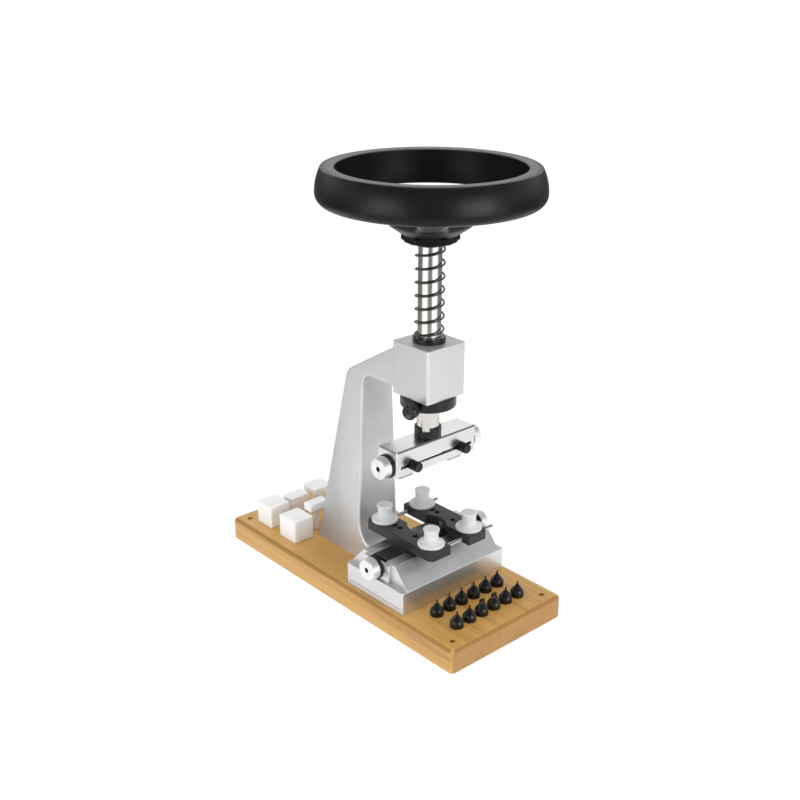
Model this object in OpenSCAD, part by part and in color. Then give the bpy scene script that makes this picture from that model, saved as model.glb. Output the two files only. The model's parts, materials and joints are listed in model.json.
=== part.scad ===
// Bench press for screwed watch case backs. A handwheel turns and presses a sprung spindle, its
// crosshead carries two sliding jaws for the case bits, and the watch is held below in a vise
// with two bars and four plastic posts. Everything stands on a wooden board.
// +Z is up, +X is to the right seen from the vise end, +Y runs to the rear.
// The origin is the centre of the board's underside.

/* [Board] */
// Length of the board, front to rear
board_l = 280; // [274:2:300]
// Width of the board
board_w = 120; // [118:2:130]
// Thickness of the board
board_t = 20; // [18:1:22]
// Distance of the corner holes from the board's edges
corner_inset = 11; // [9:0.5:12]
// Radius of the corner screw holes
corner_hole_r = 2.25; // [2:0.25:2.75]

/* [Frame] */
// Distance of the working axis in front of the board's centre
axis_offset = 47.5; // [47:0.5:48]
// Half width of the column at the board
column_foot_x = 22; // [20:0.5:24]
// Half width of the column at the head
column_top_x = 15.5; // [14:0.5:17]
// Width and depth of the square head
head_side = 38.5; // [38:0.5:40]
// Height of the head's underside above the floor
head_bottom = 179; // [178:0.5:180]
// Height of the head's top above the floor
head_top = 221; // [220:0.5:222]

/* [Spindle and handwheel] */
// Radius of the spindle
spindle_r = 8.8; // [8.5:0.1:9]
// Outer radius of the handwheel
wheel_r = 83; // [80:0.5:83]
// Inner radius of the handwheel's rim
rim_inner_r = 68.5; // [66:0.5:70]
// Height of the handwheel's top above the floor
wheel_top = 351; // [350:0.5:352]
// Height of the handwheel's rim
rim_h = 26; // [25:0.5:27]
// Number of coils in the return spring
spring_turns = 7.7; // [6:0.1:9]
// Radius of the return spring's wire
wire_r = 0.7; // [0.5:0.1:0.8]
// Outer radius of the return spring
spring_r = 11.3; // [11:0.1:11.5]

/* [Crosshead] */
// Length of the crosshead body
chuck_l = 83; // [81:1:85]
// Depth of the crosshead body, front to rear
chuck_d = 21.2; // [20.8:0.2:22]
// Height of the crosshead body
chuck_h = 21.1; // [20.6:0.1:21.6]
// Height of the crosshead's underside above the floor
chuck_z = 123.3; // [123:0.1:124]
// Distance of each jaw's middle from the spindle's axis
jaw_x = 25.6; // [20:0.2:26]
// Radius of the sockets for the case bits
bit_socket_r = 2.1; // [2:0.05:2.2]

/* [Vise] */
// Length of the vise base
vise_l = 110; // [108:1:112]
// Depth of the vise base, front to rear
vise_d = 66; // [65:0.5:66]
// Height of the rails' tops above the floor
rail_z = 55.5; // [55:0.1:56]
// Width of the channel between the rails
channel_w = 16; // [15.5:0.1:16.5]
// Distance of each bar's middle from the working axis
bar_x = 20.35; // [20:0.05:21]
// Width of each bar
bar_w = 21.1; // [20.5:0.1:21.5]
// Length of each bar
bar_l = 76.6; // [76:0.2:78]
// Distance of the posts from the working axis, along the bars
post_y = 27; // [26.5:0.1:27]
// Radius of the posts' flanges
post_flange_r = 10.6; // [10:0.1:10.8]

/* [Loose pieces] */
// Distance between neighbouring bits on the board
bit_pitch = 13.2; // [12.5:0.1:14]
// Radius of a bit's collar
bit_r = 5.3; // [5:0.1:5.5]
// Side of the plastic support cubes
cube_side = 20; // [18:0.5:20]

/* [Hidden] */
$fn = 64;

// Fits: a running shaft's radial clearance, and the gap beside a flat slide
running = 0.05;
slide_gap = 0.15;

axis_y = -axis_offset;
left = -1;
right = 1;

// Board and its screws
corner_x = board_w / 2 - corner_inset;
corner_y = board_l / 2 - 11.5;
frame_bolt_x = 12;
frame_bolt_ys = [4, 48];
vise_bolt_x = 40;
vise_bolt_y = 24;
bolt_head_h = 6;
bit_rows = [-95.2, -117];
bit_hole_r = 2.2;
bit_hole_depth = 8;
peg_r = 2.2;
peg_hole_r = 2.5;
peg_hole_depth = 9;
tee_places = [[-16.5, 74.5, 27, true], [-13, 108, 20, true]];

// Frame casting
column_front = 11;
rear_lean = 0.2;
rear_y = 64;
rear_corner = [32, 180];
arm_top = 216.5;
arm_bottom = 181;
head_rear = axis_y + 19;
bush_r = 10.6;

// Spindle stack, from the crosshead up to the wheel
collar_r = 10.5;
collar_h = 8.6;
collar_notch_w = 7.5;
collar_notch_turn = 215;
spindle_bottom = chuck_z + chuck_h + 2;
lock_ring_bottom = 170.4;
lock_ring_r = 21.5;
lock_turn = 201.6;
lock_z = (lock_ring_bottom + head_bottom) / 2;
flange_top = head_top + 4;
nut_bottom = 297;
nut_top = 302;
cap_t = 1;
hub_top = 324;
hub_bore_r = 7;
rim_bottom = wheel_top - rim_h;
spoke_turn = 228;
spring_bottom = flange_top + 0.1;
spring_top = nut_bottom - cap_t - 0.2;
spring_mean_r = spring_r - wire_r;

// Crosshead
chuck_top = chuck_z + chuck_h;
chuck_screw_z = chuck_z + 7.5;
chuck_screw_r = 2.5;
chuck_channel_w = 15.2;
chuck_channel_h = 10.1;
jaw_w = 14;
jaw_neck_d = 8;
jaw_bottom = 118;
slot_h = 2.4;
slot_half = 37;
neck_slot_half = 36.5;
knob_r = 8.8;
chuck_knob_r = 8.5;
knob_t = 8;
ring_r = 9.4;
chuck_ring_t = 1.5;
thumb_r = 3.9;
thumb_shank_r = 1.15;
thumb_front = 18.5;

// Vise
vise_block_top = 39.4;
upper_half = 50;
rail_inner = channel_w / 2;
rail_outer = 18.1;
slope_foot = vise_d / 2 - 0.5;
channel_floor = 41.5;
groove_depth = 1.5;
groove_zs = [43.8, 47.2];
vise_screw_z = 49;
vise_screw_r = 3;
plate_t = 3;
plate_w = 28.8;
plate_top = 54.5;
vise_ring_t = 2;
slide_inner = 12;
slide_outer = 48.3;
bar_bottom = 59.3;
bar_top = 67.3;
bar_notch_r = 15.5;
post_hole_r = 2.05;
spare_hole_ys = [9, 14.7];
rod_y = 31.7;
rod_z = 63.3;
rod_r = 1.5;
rod_tip = 42;
post_top = 81.3;

// ---- Outlines ----

// Points of an arc from angle a0 to angle a1 about a centre
function arc(c, r, a0, a1, n = 8) =
    [for (i = [0:n]) c + r * [cos(a0 + (a1 - a0) * i / n), sin(a0 + (a1 - a0) * i / n)]];

function unit(v) = v / norm(v);
function short_sweep(a) = a > 180 ? a - 360 : a < -180 ? a + 360 : a;

// The corner b of an outline, rounded with radius r between its neighbours a and c
function corner_arc(a, b, c, r, n) =
    r == 0 ? [b] :
    let (
        u = unit(a - b),
        v = unit(c - b),
        half = acos(u * v) / 2,
        m = b + unit(u + v) * r / sin(half),
        p = b + u * r / tan(half) - m,
        q = b + v * r / tan(half) - m,
        a0 = atan2(p[1], p[0])
    )
    arc(m, r, a0, a0 + short_sweep(atan2(q[1], q[0]) - a0), n);

// An outline from corners [x, y, radius]
function rounded(pts, n = 6) =
    let (k = len(pts), xy = [for (p = pts) [p[0], p[1]]])
    [for (i = [0:k - 1]) each corner_arc(xy[(i + k - 1) % k], xy[i], xy[(i + 1) % k], pts[i][2], n)];

// ---- Basic solids ----

// A plate with its outline in Y and Z, as thick as w along X and centred on x = 0
module side_plate(pts, w)
    rotate([90, 0, 90])
        linear_extrude(w, center = true)
            polygon(pts);

// A round bar along X from x0 to x1
module x_bar(r, x0, x1, y = axis_y, z = 0)
    translate([x0, y, z])
        rotate([0, 90, 0])
            cylinder(r = r, h = x1 - x0);

// A block with vertical edges of radius r, standing on z = 0
module rounded_block(w, d, h, r)
    linear_extrude(h)
        polygon(rounded([[-w / 2, -d / 2, r], [w / 2, -d / 2, r], [w / 2, d / 2, r], [-w / 2, d / 2, r]]));

// A turned piece on the working axis, from its half outline in radius and height
module turned(pts)
    translate([0, axis_y, 0])
        rotate_extrude()
            polygon(pts);

// A bolt from below: a shank to height h and a head of height k, with its underside at z = 0
module bolt_up(r, head_r, k, h) {
    cylinder(r = head_r, h = k);
    cylinder(r = r, h = h);
}

// ---- Board ----

module frame_bolt_places()
    for (x = [-frame_bolt_x, frame_bolt_x], y = frame_bolt_ys)
        translate([x, y, 0])
            children();

module vise_bolt_places()
    for (x = [-vise_bolt_x, vise_bolt_x], y = [-vise_bolt_y, vise_bolt_y])
        translate([x, axis_y + y, 0])
            children();

// Places of one row of bits, counted from the left
module bit_place(i)
    translate([(i % 6 - 2.5) * bit_pitch, bit_rows[floor(i / 6)], board_t])
        children();

module base_board()
    color("burlywood")
        difference() {
            rounded_block(board_w, board_l, board_t, 3);
            for (x = [-corner_x, corner_x], y = [-corner_y, corner_y])
                translate([x, y, -1])
                    cylinder(r = corner_hole_r, h = board_t + 2);
            frame_bolt_places() {
                translate([0, 0, -1])
                    cylinder(r = 3.3, h = board_t + 2);
                translate([0, 0, -1])
                    cylinder(r = 5.6, h = bolt_head_h + 2);
            }
            vise_bolt_places() {
                translate([0, 0, -1])
                    cylinder(r = 2.8, h = board_t + 2);
                translate([0, 0, -1])
                    cylinder(r = 4.9, h = bolt_head_h + 2);
            }
            for (i = [0:11])
                bit_place(i)
                    translate([0, 0, -bit_hole_depth])
                        cylinder(r = bit_hole_r, h = bit_hole_depth + 1);
            for (t = tee_places)
                translate([t[0], t[1], board_t - peg_hole_depth])
                    cylinder(r = peg_hole_r, h = peg_hole_depth + 1);
        }

// ---- Frame ----

// Side view of the column and arm; the bottom of the throat runs out over the foot
frame_outline = rounded([
    [-14.2, board_t, 0],
    [rear_y, board_t, 0],
    [rear_corner[0], rear_corner[1], 14],
    [head_rear - 1, arm_top, 0],
    [head_rear - 1, arm_bottom, 0],
    [column_front, arm_bottom, 9],
    [column_front, 33, 23],
    [-14.2, 31, 0]
], 14);

module frame_casting()
    color("silver")
        difference() {
            union() {
                intersection() {
                    side_plate(frame_outline, 2 * column_foot_x + 2);
                    rotate([90, 0, 0])
                        linear_extrude(2 * board_l, center = true)
                            polygon([[-column_foot_x, board_t], [column_foot_x, board_t],
                                [column_top_x, head_bottom], [column_top_x, head_top],
                                [-column_top_x, head_top], [-column_top_x, head_bottom]]);
                }
                translate([0, axis_y, head_bottom])
                    rounded_block(head_side, head_side, head_top - head_bottom, 1.5);
            }
            translate([0, axis_y, head_bottom - 1])
                cylinder(r = bush_r, h = head_top - head_bottom + 2);
            frame_bolt_places()
                translate([0, 0, board_t - 1])
                    cylinder(r = 3 + running, h = 13);
        }

module frame_screws()
    color("dimgray")
        frame_bolt_places()
            translate([0, 0, 1])
                difference() {
                    bolt_up(3, 5, bolt_head_h, 29);
                    translate([0, 0, -1])
                        cylinder(r = 2.9, h = 4, $fn = 6);
                }

module head_bush()
    color("dimgray")
        difference() {
            turned([[spindle_r + running, lock_ring_bottom], [bush_r, lock_ring_bottom],
                [bush_r, head_top], [12.5, head_top], [12.5, flange_top - 0.6],
                [11.9, flange_top], [spindle_r + running, flange_top]]);
            lock_axis()
                cylinder(r = 2 + running, h = 30);
        }

// ---- Lock ring and its thumb screw ----

// Turns +Z to point out along the lock screw
module lock_axis()
    translate([0, axis_y, lock_z])
        rotate([0, 90, lock_turn])
            children();

module lock_ring()
    color("darkslategray")
        difference() {
            turned(rounded([[bush_r + running, lock_ring_bottom, 0],
                [lock_ring_r, lock_ring_bottom, 0.8], [lock_ring_r, head_bottom, 0.8],
                [bush_r + running, head_bottom, 0]], 3));
            lock_axis()
                cylinder(r = 2 + running, h = 30);
        }

module lock_screw()
    color("darkslategray")
        lock_axis() {
            translate([0, 0, 9.1])
                cylinder(r = 2, h = 18);
            translate([0, 0, lock_ring_r + 1])
                cylinder(r = 3.2, h = 3.5);
            translate([0, 0, lock_ring_r + 4.4])
                cylinder(r = 5.7, h = 8);
        }

// ---- Spring ----

// Height of the wire's centre after t turns: closed end coils and an even pitch between them
function coil_rise(t) =
    let (ends = 0.5, lift = 2 * wire_r * 1.02)
    t < ends ? lift * t :
    t > spring_turns - ends ? coil_span - lift * (spring_turns - t) :
    lift * ends + (coil_span - 2 * lift * ends) * (t - ends) / (spring_turns - 2 * ends);

coil_span = spring_top - spring_bottom - 2 * wire_r;
coil_sides = 6;
coil_rings = 20 * spring_turns;

module return_spring() {
    pts = [for (i = [0:coil_rings], s = [0:coil_sides - 1])
        let (
            t = i / 20,
            a = 360 * t,
            b = 360 * s / coil_sides,
            r = spring_mean_r + wire_r * cos(b)
        )
        [r * cos(a), r * sin(a) + axis_y, spring_bottom + wire_r + coil_rise(t) + wire_r * sin(b)]];
    sides = [for (i = [0:coil_rings - 1], s = [0:coil_sides - 1])
        let (p = i * coil_sides, n = (s + 1) % coil_sides)
        [p + s, p + coil_sides + s, p + coil_sides + n, p + n]];
    first = [for (s = [0:coil_sides - 1]) s];
    last = [for (s = [coil_sides - 1:-1:0]) coil_rings * coil_sides + s];
    color("dimgray")
        polyhedron(pts, concat(sides, [first, last]));
}

module spring_cap()
    color("gray")
        turned([[spindle_r + running, nut_bottom - cap_t - 0.1], [spring_r + 0.3, nut_bottom - cap_t - 0.1],
            [spring_r + 0.3, nut_bottom - 0.1], [spindle_r + running, nut_bottom - 0.1]]);

// ---- Spindle and handwheel ----

module spindle()
    color("lightgray")
        difference() {
            turned([[0, spindle_bottom], [spindle_r - 0.5, spindle_bottom],
                [spindle_r, spindle_bottom + 0.5], [spindle_r, nut_top], [hub_bore_r, nut_top],
                [hub_bore_r, hub_top - 0.5], [0, hub_top - 0.5]]);
            translate([0, axis_y, spindle_bottom - 1])
                cylinder(r = 3, h = 17);
            translate([0, axis_y, hub_top - 18])
                cylinder(r = 3, h = 20);
        }

module hub_nut()
    color("darkslategray")
        difference() {
            translate([0, axis_y, nut_bottom])
                rotate([0, 0, spoke_turn + 30])
                    cylinder(r = 21.4, h = nut_top - nut_bottom, $fn = 6);
            translate([0, axis_y, nut_bottom - 1])
                cylinder(r = spindle_r, h = nut_top - nut_bottom + 2);
        }

// Half section of the rim: flat top, full rounded outer edge, straight inner wall
rim_bulge_z = rim_bottom + 8;
rim_outline = concat(
    [[rim_inner_r, rim_bottom + 0.8], [rim_inner_r + 0.8, rim_bottom], [74.5, rim_bottom - 0.5]],
    arc([wheel_r - 8.5, rim_bulge_z], 8.5, -75, 0, 6),
    arc([wheel_r - 38, rim_bulge_z], 38, 5, 27, 6),
    [[78, wheel_top], [rim_inner_r + 1, wheel_top], [rim_inner_r, wheel_top - 1]]
);

module spoke()
    intersection() {
        rotate([90, 0, 0])
            linear_extrude(60, center = true)
                polygon([[20, 306], [31, 309.5], [50, 315.5], [66, 323.5], [71, 327],
                    [71, 334], [64, 331.5], [48, 325.5], [28, 321.5], [20, 321.5]]);
        linear_extrude(wheel_top)
            polygon([[20, -15], [33, -11.5], [48, -10.5], [60, -13], [71, -19],
                [71, 19], [60, 13], [48, 10.5], [33, 11.5], [20, 15]]);
    }

module handwheel()
    color("darkslategray")
        difference() {
            union() {
                turned(rim_outline);
                turned([[0, nut_top], [20, nut_top], [31, 309.5], [32.5, 312], [32.5, 318],
                    [30, 321.5], [14, hub_top], [0, hub_top]]);
                for (k = [0:2])
                    translate([0, axis_y, 0])
                        rotate([0, 0, spoke_turn + 120 * k])
                            spoke();
            }
            translate([0, axis_y, nut_top - 1])
                cylinder(r = hub_bore_r + running, h = hub_top - nut_top + 2);
        }

module wheel_washer()
    color("silver")
        turned([[3.2, hub_top], [11, hub_top], [11, hub_top + 2], [3.2, hub_top + 2]]);

module wheel_screw()
    color("silver")
        difference() {
            turned([[0, hub_top - 14], [3, hub_top - 14], [3, hub_top + 2], [5.2, hub_top + 2],
                [5.2, hub_top + 7.4], [4.6, hub_top + 8], [0, hub_top + 8]]);
            translate([0, axis_y, hub_top + 4.5])
                cylinder(r = 2.9, h = 5, $fn = 6);
        }

// ---- Coupling ----

module coupling_collar()
    color("darkslategray")
        difference() {
            turned([[3.1, chuck_top], [collar_r, chuck_top], [collar_r, chuck_top + collar_h - 0.5],
                [collar_r - 0.5, chuck_top + collar_h], [spindle_r, chuck_top + collar_h],
                [spindle_r, spindle_bottom], [3.1, spindle_bottom]]);
            translate([0, axis_y, chuck_top + collar_h - 3.2])
                rotate([0, 0, collar_notch_turn])
                    translate([spindle_r - 1, -collar_notch_w / 2, 0])
                        cube([5, collar_notch_w, 5]);
        }

module spindle_bolt()
    color("dimgray")
        difference() {
            turned([[0, chuck_screw_z + 5.1], [5, chuck_screw_z + 5.1], [5, chuck_screw_z + 8.1],
                [3, chuck_screw_z + 8.1], [3, spindle_bottom + 13], [0, spindle_bottom + 13]]);
            translate([0, axis_y, chuck_screw_z + 4])
                cylinder(r = 2.3, h = 3, $fn = 6);
        }

// ---- Crosshead ----

channel_z = chuck_screw_z - chuck_channel_h / 2;

module chuck_body()
    color("gainsboro")
        difference() {
            translate([0, axis_y, chuck_z])
                rounded_block(chuck_l, chuck_d, chuck_h, 0.6);
            translate([-chuck_l / 2 - 1, axis_y - chuck_channel_w / 2, channel_z])
                cube([chuck_l + 2, chuck_channel_w, chuck_channel_h]);
            translate([-neck_slot_half, axis_y - jaw_neck_d / 2 - slide_gap, chuck_z - 1])
                cube([2 * neck_slot_half, jaw_neck_d + 2 * slide_gap, channel_z - chuck_z + 2]);
            translate([-slot_half, axis_y - chuck_d / 2 - 1, chuck_screw_z - slot_h / 2])
                cube([2 * slot_half, chuck_d / 2 - chuck_channel_w / 2 + 2, slot_h]);
            translate([0, axis_y, chuck_screw_z])
                cylinder(r = 5.2, h = 8.1);
            translate([0, axis_y, chuck_screw_z])
                cylinder(r = 3.1, h = 20);
        }

// A flanged bush in one end of the crosshead: dark ring outside, plug inside
module chuck_bush(side)
    color("darkslategray")
        mirror([side == left ? 1 : 0, 0, 0])
            difference() {
                union() {
                    x_bar(ring_r, chuck_l / 2, chuck_l / 2 + chuck_ring_t, z = chuck_screw_z);
                    x_bar(4.9, chuck_l / 2 - 4, chuck_l / 2 + 0.5, z = chuck_screw_z);
                }
                x_bar(chuck_screw_r + running, 30, 60, z = chuck_screw_z);
            }

module chuck_bush_left() chuck_bush(left);
module chuck_bush_right() chuck_bush(right);

chuck_knob_x = chuck_l / 2 + chuck_ring_t + 0.1;

module chuck_screw()
    color("silver")
        difference() {
            x_bar(chuck_screw_r, -chuck_knob_x - 7, chuck_knob_x + 7, z = chuck_screw_z);
            for (s = [left, right])
                translate([s * (chuck_knob_x + 7), axis_y, chuck_screw_z])
                    cube([2.4, 1, 6], center = true);
        }

// A round knob on a lead screw, with its inner face at x and a set screw in its rim
module knob(x, z, r, bore)
    difference() {
        translate([x, axis_y, z])
            rotate([0, 90, 0])
                rotate_extrude()
                    polygon([[bore, 0], [r - 0.4, 0], [r, 0.4], [r, knob_t - 0.7],
                        [r - 0.7, knob_t], [bore, knob_t]]);
        translate([x + 2.5, axis_y, z])
            rotate([90, 0, 0])
                cylinder(r = 1.2, h = r + 1);
    }

module set_screw(x, z, r, bore)
    translate([x + 2.5, axis_y - bore, z])
        rotate([90, 0, 0])
            difference() {
                cylinder(r = 1.2, h = r - bore - 1);
                translate([0, 0, r - bore - 2.4])
                    cylinder(r = 0.65, h = 3, $fn = 6);
            }

module both_ends()
    for (s = [0, 1])
        mirror([s, 0, 0])
            children();

module chuck_knob_right()
    color("whitesmoke")
        knob(chuck_knob_x, chuck_screw_z, chuck_knob_r, chuck_screw_r);
module chuck_knob_left()
    color("whitesmoke")
        mirror([1, 0, 0])
            knob(chuck_knob_x, chuck_screw_z, chuck_knob_r, chuck_screw_r);
module chuck_set_screws()
    color("dimgray")
        both_ends()
            set_screw(chuck_knob_x, chuck_screw_z, chuck_knob_r, chuck_screw_r);

// A jaw: a block in the channel, threaded on the lead screw, with a neck that holds one bit
module jaw(side)
    color("tan")
        difference() {
            translate([side * jaw_x, axis_y, 0]) {
                translate([-jaw_w / 2, -chuck_channel_w / 2 + slide_gap, channel_z + slide_gap])
                    cube([jaw_w, chuck_channel_w - 2 * slide_gap, chuck_channel_h - 2 * slide_gap]);
                translate([-jaw_w / 2, -jaw_neck_d / 2, jaw_bottom])
                    cube([jaw_w, jaw_neck_d, channel_z - jaw_bottom + 1]);
            }
            x_bar(chuck_screw_r + running, -60, 60, z = chuck_screw_z);
            translate([side * jaw_x, axis_y, jaw_bottom - 1])
                cylinder(r = bit_socket_r, h = 9);
            translate([side * jaw_x, axis_y, chuck_screw_z])
                rotate([90, 0, 0])
                    translate([0, 0, 2.9])
                        cylinder(r = thumb_shank_r + running, h = 10);
        }

module jaw_left() jaw(left);
module jaw_right() jaw(right);

// A thumb screw through the front slot, which clamps its jaw at the set width
module thumb_screw(side)
    color("darkslategray")
        translate([side * jaw_x, axis_y, chuck_screw_z])
            rotate([90, 0, 0]) {
                translate([0, 0, 3.1])
                    cylinder(r = thumb_shank_r, h = 9);
                translate([0, 0, chuck_d / 2 + 0.2])
                    cylinder(r = thumb_r, h = thumb_front - chuck_d / 2 - 0.2);
            }

module thumb_screw_left() thumb_screw(left);
module thumb_screw_right() thumb_screw(right);

// ---- Vise ----

module about_axis()
    translate([0, axis_y, 0])
        children();

module vise_body()
    color("silver")
        difference() {
            about_axis() {
                translate([0, 0, board_t])
                    rounded_block(vise_l, vise_d, vise_block_top - board_t, 0.8);
                side_plate([[-slope_foot, vise_block_top - 1], [-slope_foot, vise_block_top],
                    [-rail_outer, rail_z], [-rail_inner, rail_z],
                    [-rail_inner, groove_zs[1]], [-rail_inner - groove_depth, groove_zs[1]],
                    [-rail_inner - groove_depth, groove_zs[0]], [-rail_inner, groove_zs[0]],
                    [-rail_inner, channel_floor], [rail_inner, channel_floor],
                    [rail_inner, groove_zs[0]], [rail_inner + groove_depth, groove_zs[0]],
                    [rail_inner + groove_depth, groove_zs[1]], [rail_inner, groove_zs[1]],
                    [rail_inner, rail_z], [rail_outer, rail_z],
                    [slope_foot, vise_block_top], [slope_foot, vise_block_top - 1]], 2 * upper_half);
            }
            vise_bolt_places()
                translate([0, 0, board_t - 1])
                    cylinder(r = 2.5 + running, h = 14);
            plate_screw_places()
                cylinder(r = 1.25, h = 8, center = true);
        }

module vise_bolts()
    color("dimgray")
        vise_bolt_places()
            translate([0, 0, 1.2])
                difference() {
                    bolt_up(2.5, 4.4, 5, 31);
                    translate([0, 0, -1])
                        cylinder(r = 2.3, h = 3.5, $fn = 6);
                }

// Places of the end plates' screws, with +Z pointing out of the plate
module plate_screw_places()
    both_ends()
        for (y = [-11.9, 11.9])
            translate([upper_half, axis_y + y, 47])
                rotate([0, 90, 0])
                    children();

module vise_plate(side)
    color("lightgray")
        mirror([side == left ? 1 : 0, 0, 0])
            difference() {
                translate([upper_half, axis_y - plate_w / 2, vise_block_top + 0.1])
                    cube([plate_t, plate_w, plate_top - vise_block_top - 0.1]);
                x_bar(vise_screw_r + running, upper_half - 1, upper_half + plate_t + 1, z = vise_screw_z);
                plate_screw_places()
                    cylinder(r = 1.5, h = 8, center = true);
            }

module vise_plate_left() vise_plate(left);
module vise_plate_right() vise_plate(right);

module vise_plate_screws()
    color("dimgray")
        plate_screw_places() {
            translate([0, 0, -3.5])
                cylinder(r = 1.2, h = 6.9);
            translate([0, 0, plate_t])
                cylinder(r = 2.2, h = 1);
        }

module vise_ring(side)
    color("darkslategray")
        mirror([side == left ? 1 : 0, 0, 0])
            difference() {
                x_bar(ring_r, upper_half + plate_t, upper_half + plate_t + vise_ring_t, z = vise_screw_z);
                x_bar(vise_screw_r + running, 40, 60, z = vise_screw_z);
            }

module vise_ring_left() vise_ring(left);
module vise_ring_right() vise_ring(right);

vise_knob_x = upper_half + plate_t + vise_ring_t + 0.1;

module vise_screw()
    color("silver")
        difference() {
            x_bar(vise_screw_r, -vise_knob_x - 7, vise_knob_x + 7, z = vise_screw_z);
            for (s = [left, right])
                translate([s * (vise_knob_x + 7), axis_y, vise_screw_z])
                    cube([2.4, 1, 7], center = true);
        }

module vise_knob_right()
    color("whitesmoke")
        knob(vise_knob_x, vise_screw_z, knob_r, vise_screw_r);
module vise_knob_left()
    color("whitesmoke")
        mirror([1, 0, 0])
            knob(vise_knob_x, vise_screw_z, knob_r, vise_screw_r);
module vise_set_screws()
    color("dimgray")
        both_ends()
            set_screw(vise_knob_x, vise_screw_z, knob_r, vise_screw_r);

// A slide: keyed into the rails' grooves, threaded on the lead screw, and raised under its bar
module slide(side) {
    w = rail_inner - slide_gap;
    key = w + groove_depth - slide_gap;
    bar_inner = bar_x - bar_w / 2;
    color("dimgray")
        mirror([side == left ? 1 : 0, 0, 0])
            difference() {
                about_axis() {
                    translate([(slide_inner + slide_outer) / 2, 0, 0])
                        side_plate([[-w, channel_floor + 0.2], [w, channel_floor + 0.2],
                            [w, groove_zs[0] + slide_gap], [key, groove_zs[0] + slide_gap],
                            [key, groove_zs[1] - slide_gap], [w, groove_zs[1] - slide_gap],
                            [w, rail_z - 0.3], [-w, rail_z - 0.3],
                            [-w, groove_zs[1] - slide_gap], [-key, groove_zs[1] - slide_gap],
                            [-key, groove_zs[0] + slide_gap], [-w, groove_zs[0] + slide_gap]],
                            slide_outer - slide_inner);
                    translate([slide_inner + 3.7, -w, rail_z - 1])
                        cube([bar_inner + bar_w - slide_inner - 3.7, 2 * w, bar_bottom - rail_z + 1]);
                }
                x_bar(vise_screw_r + running, 0, 60, z = vise_screw_z);
                slide_pin_places()
                    cylinder(r = 1.5, h = 20, center = true);
            }
}

module slide_left() slide(left);
module slide_right() slide(right);

module slide_pin_places()
    for (x = [-5, 5])
        translate([bar_x + x + 1, axis_y, bar_bottom])
            children();

// Dowels that tie a bar to its slide
module slide_pins(side)
    color("dimgray")
        mirror([side == left ? 1 : 0, 0, 0])
            slide_pin_places()
                translate([0, 0, -6.5])
                    cylinder(r = 1.5, h = 11.5);

module slide_pins_left() slide_pins(left);
module slide_pins_right() slide_pins(right);

// A bar: notched round on its inner edge, bored for the posts and the guide rods
module bar(side)
    color("dimgray")
        mirror([side == left ? 1 : 0, 0, 0])
            difference() {
                translate([bar_x, axis_y, bar_bottom])
                    linear_extrude(bar_top - bar_bottom)
                        polygon([[-bar_w / 2, -bar_l / 2 + 1], [-bar_w / 2 + 1, -bar_l / 2],
                            [bar_w / 2 - 3, -bar_l / 2], [bar_w / 2, -bar_l / 2 + 3],
                            [bar_w / 2, bar_l / 2 - 3], [bar_w / 2 - 3, bar_l / 2],
                            [-bar_w / 2 + 1, bar_l / 2], [-bar_w / 2, bar_l / 2 - 1]]);
                translate([0, axis_y, bar_bottom - 1])
                    cylinder(r = bar_notch_r, h = bar_top - bar_bottom + 2);
                for (y = concat([-post_y, post_y], spare_hole_ys, -spare_hole_ys))
                    translate([bar_x, axis_y + y, bar_bottom - 1])
                        cylinder(r = post_hole_r, h = bar_top - bar_bottom + 2);
                slide_pin_places()
                    translate([0, 0, -1])
                        cylinder(r = 1.5, h = 6);
                for (y = [-rod_y, rod_y])
                    if (side == left)
                        x_bar(rod_r, 0, rod_end_x, y = axis_y + y, z = rod_z);
                    else
                        x_bar(rod_r + running, 0, 60, y = axis_y + y, z = rod_z);
            }

rod_end_x = 26;

module bar_left() bar(left);
module bar_right() bar(right);

// A guide rod: fast in the left bar, and free to slide through the right bar
module guide_rod(y)
    color("silver")
        translate([-rod_end_x, axis_y + y, rod_z])
            rotate([0, 90, 0])
                rotate_extrude()
                    polygon([[0, 0], [rod_r, 0], [rod_r, rod_end_x + rod_tip - 0.5],
                        [rod_r - 0.5, rod_end_x + rod_tip], [0, rod_end_x + rod_tip]]);

module guide_rod_front() guide_rod(-rod_y);
module guide_rod_rear() guide_rod(rod_y);

// A post: flange and waisted spool, with a peg that turns in the bar's hole
module post(side, y)
    color("white")
        translate([side * bar_x, y, 0])
            turned(rounded([[0, bar_bottom + 0.6, 0], [2, bar_bottom + 0.6, 0], [2, bar_top + 0.1, 0],
                [post_flange_r, bar_top + 0.1, 0.4], [post_flange_r, bar_top + 2.2, 0.8],
                [7.4, bar_top + 3.4, 0.8], [5.7, bar_top + 5, 1.5], [5.5, bar_top + 9.5, 4],
                [6.6, post_top, 0.5], [0, post_top, 0]], 4));

module post_front_left() post(left, -post_y);
module post_front_right() post(right, -post_y);
module post_rear_left() post(left, post_y);
module post_rear_right() post(right, post_y);

// ---- Loose pieces on the board ----

module cube_block(x, y, depth)
    color("white")
        translate([x, y, board_t])
            rounded_block(cube_side, depth, 20, 0.6);

module cube_front_left() cube_block(-37.7, 75, 22);
module cube_rear_left() cube_block(-36.9, 109.4, 20);

// A tee block: a head on a stem, with a peg in the board. The head is [width, depth, height],
// and a stem of width 0 is as round as the peg.
module tee_block(t, head, stem)
    color("white")
        translate([t[0], t[1], 0]) {
            translate([0, 0, board_t + t[2] - head[2]])
                rounded_block(head[0], head[1], head[2], 0.6);
            if (stem == 0)
                translate([0, 0, board_t + 0.05])
                    cylinder(r = peg_r, h = t[2] - head[2] + 1);
            else
                translate([0, 0, board_t])
                    rounded_block(stem, 0.75 * stem, t[2] - head[2] + 1, 0.5);
            if (t[3])
                translate([0, 0, board_t - peg_hole_depth + 1])
                    cylinder(r = peg_r, h = peg_hole_depth);
        }

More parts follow.
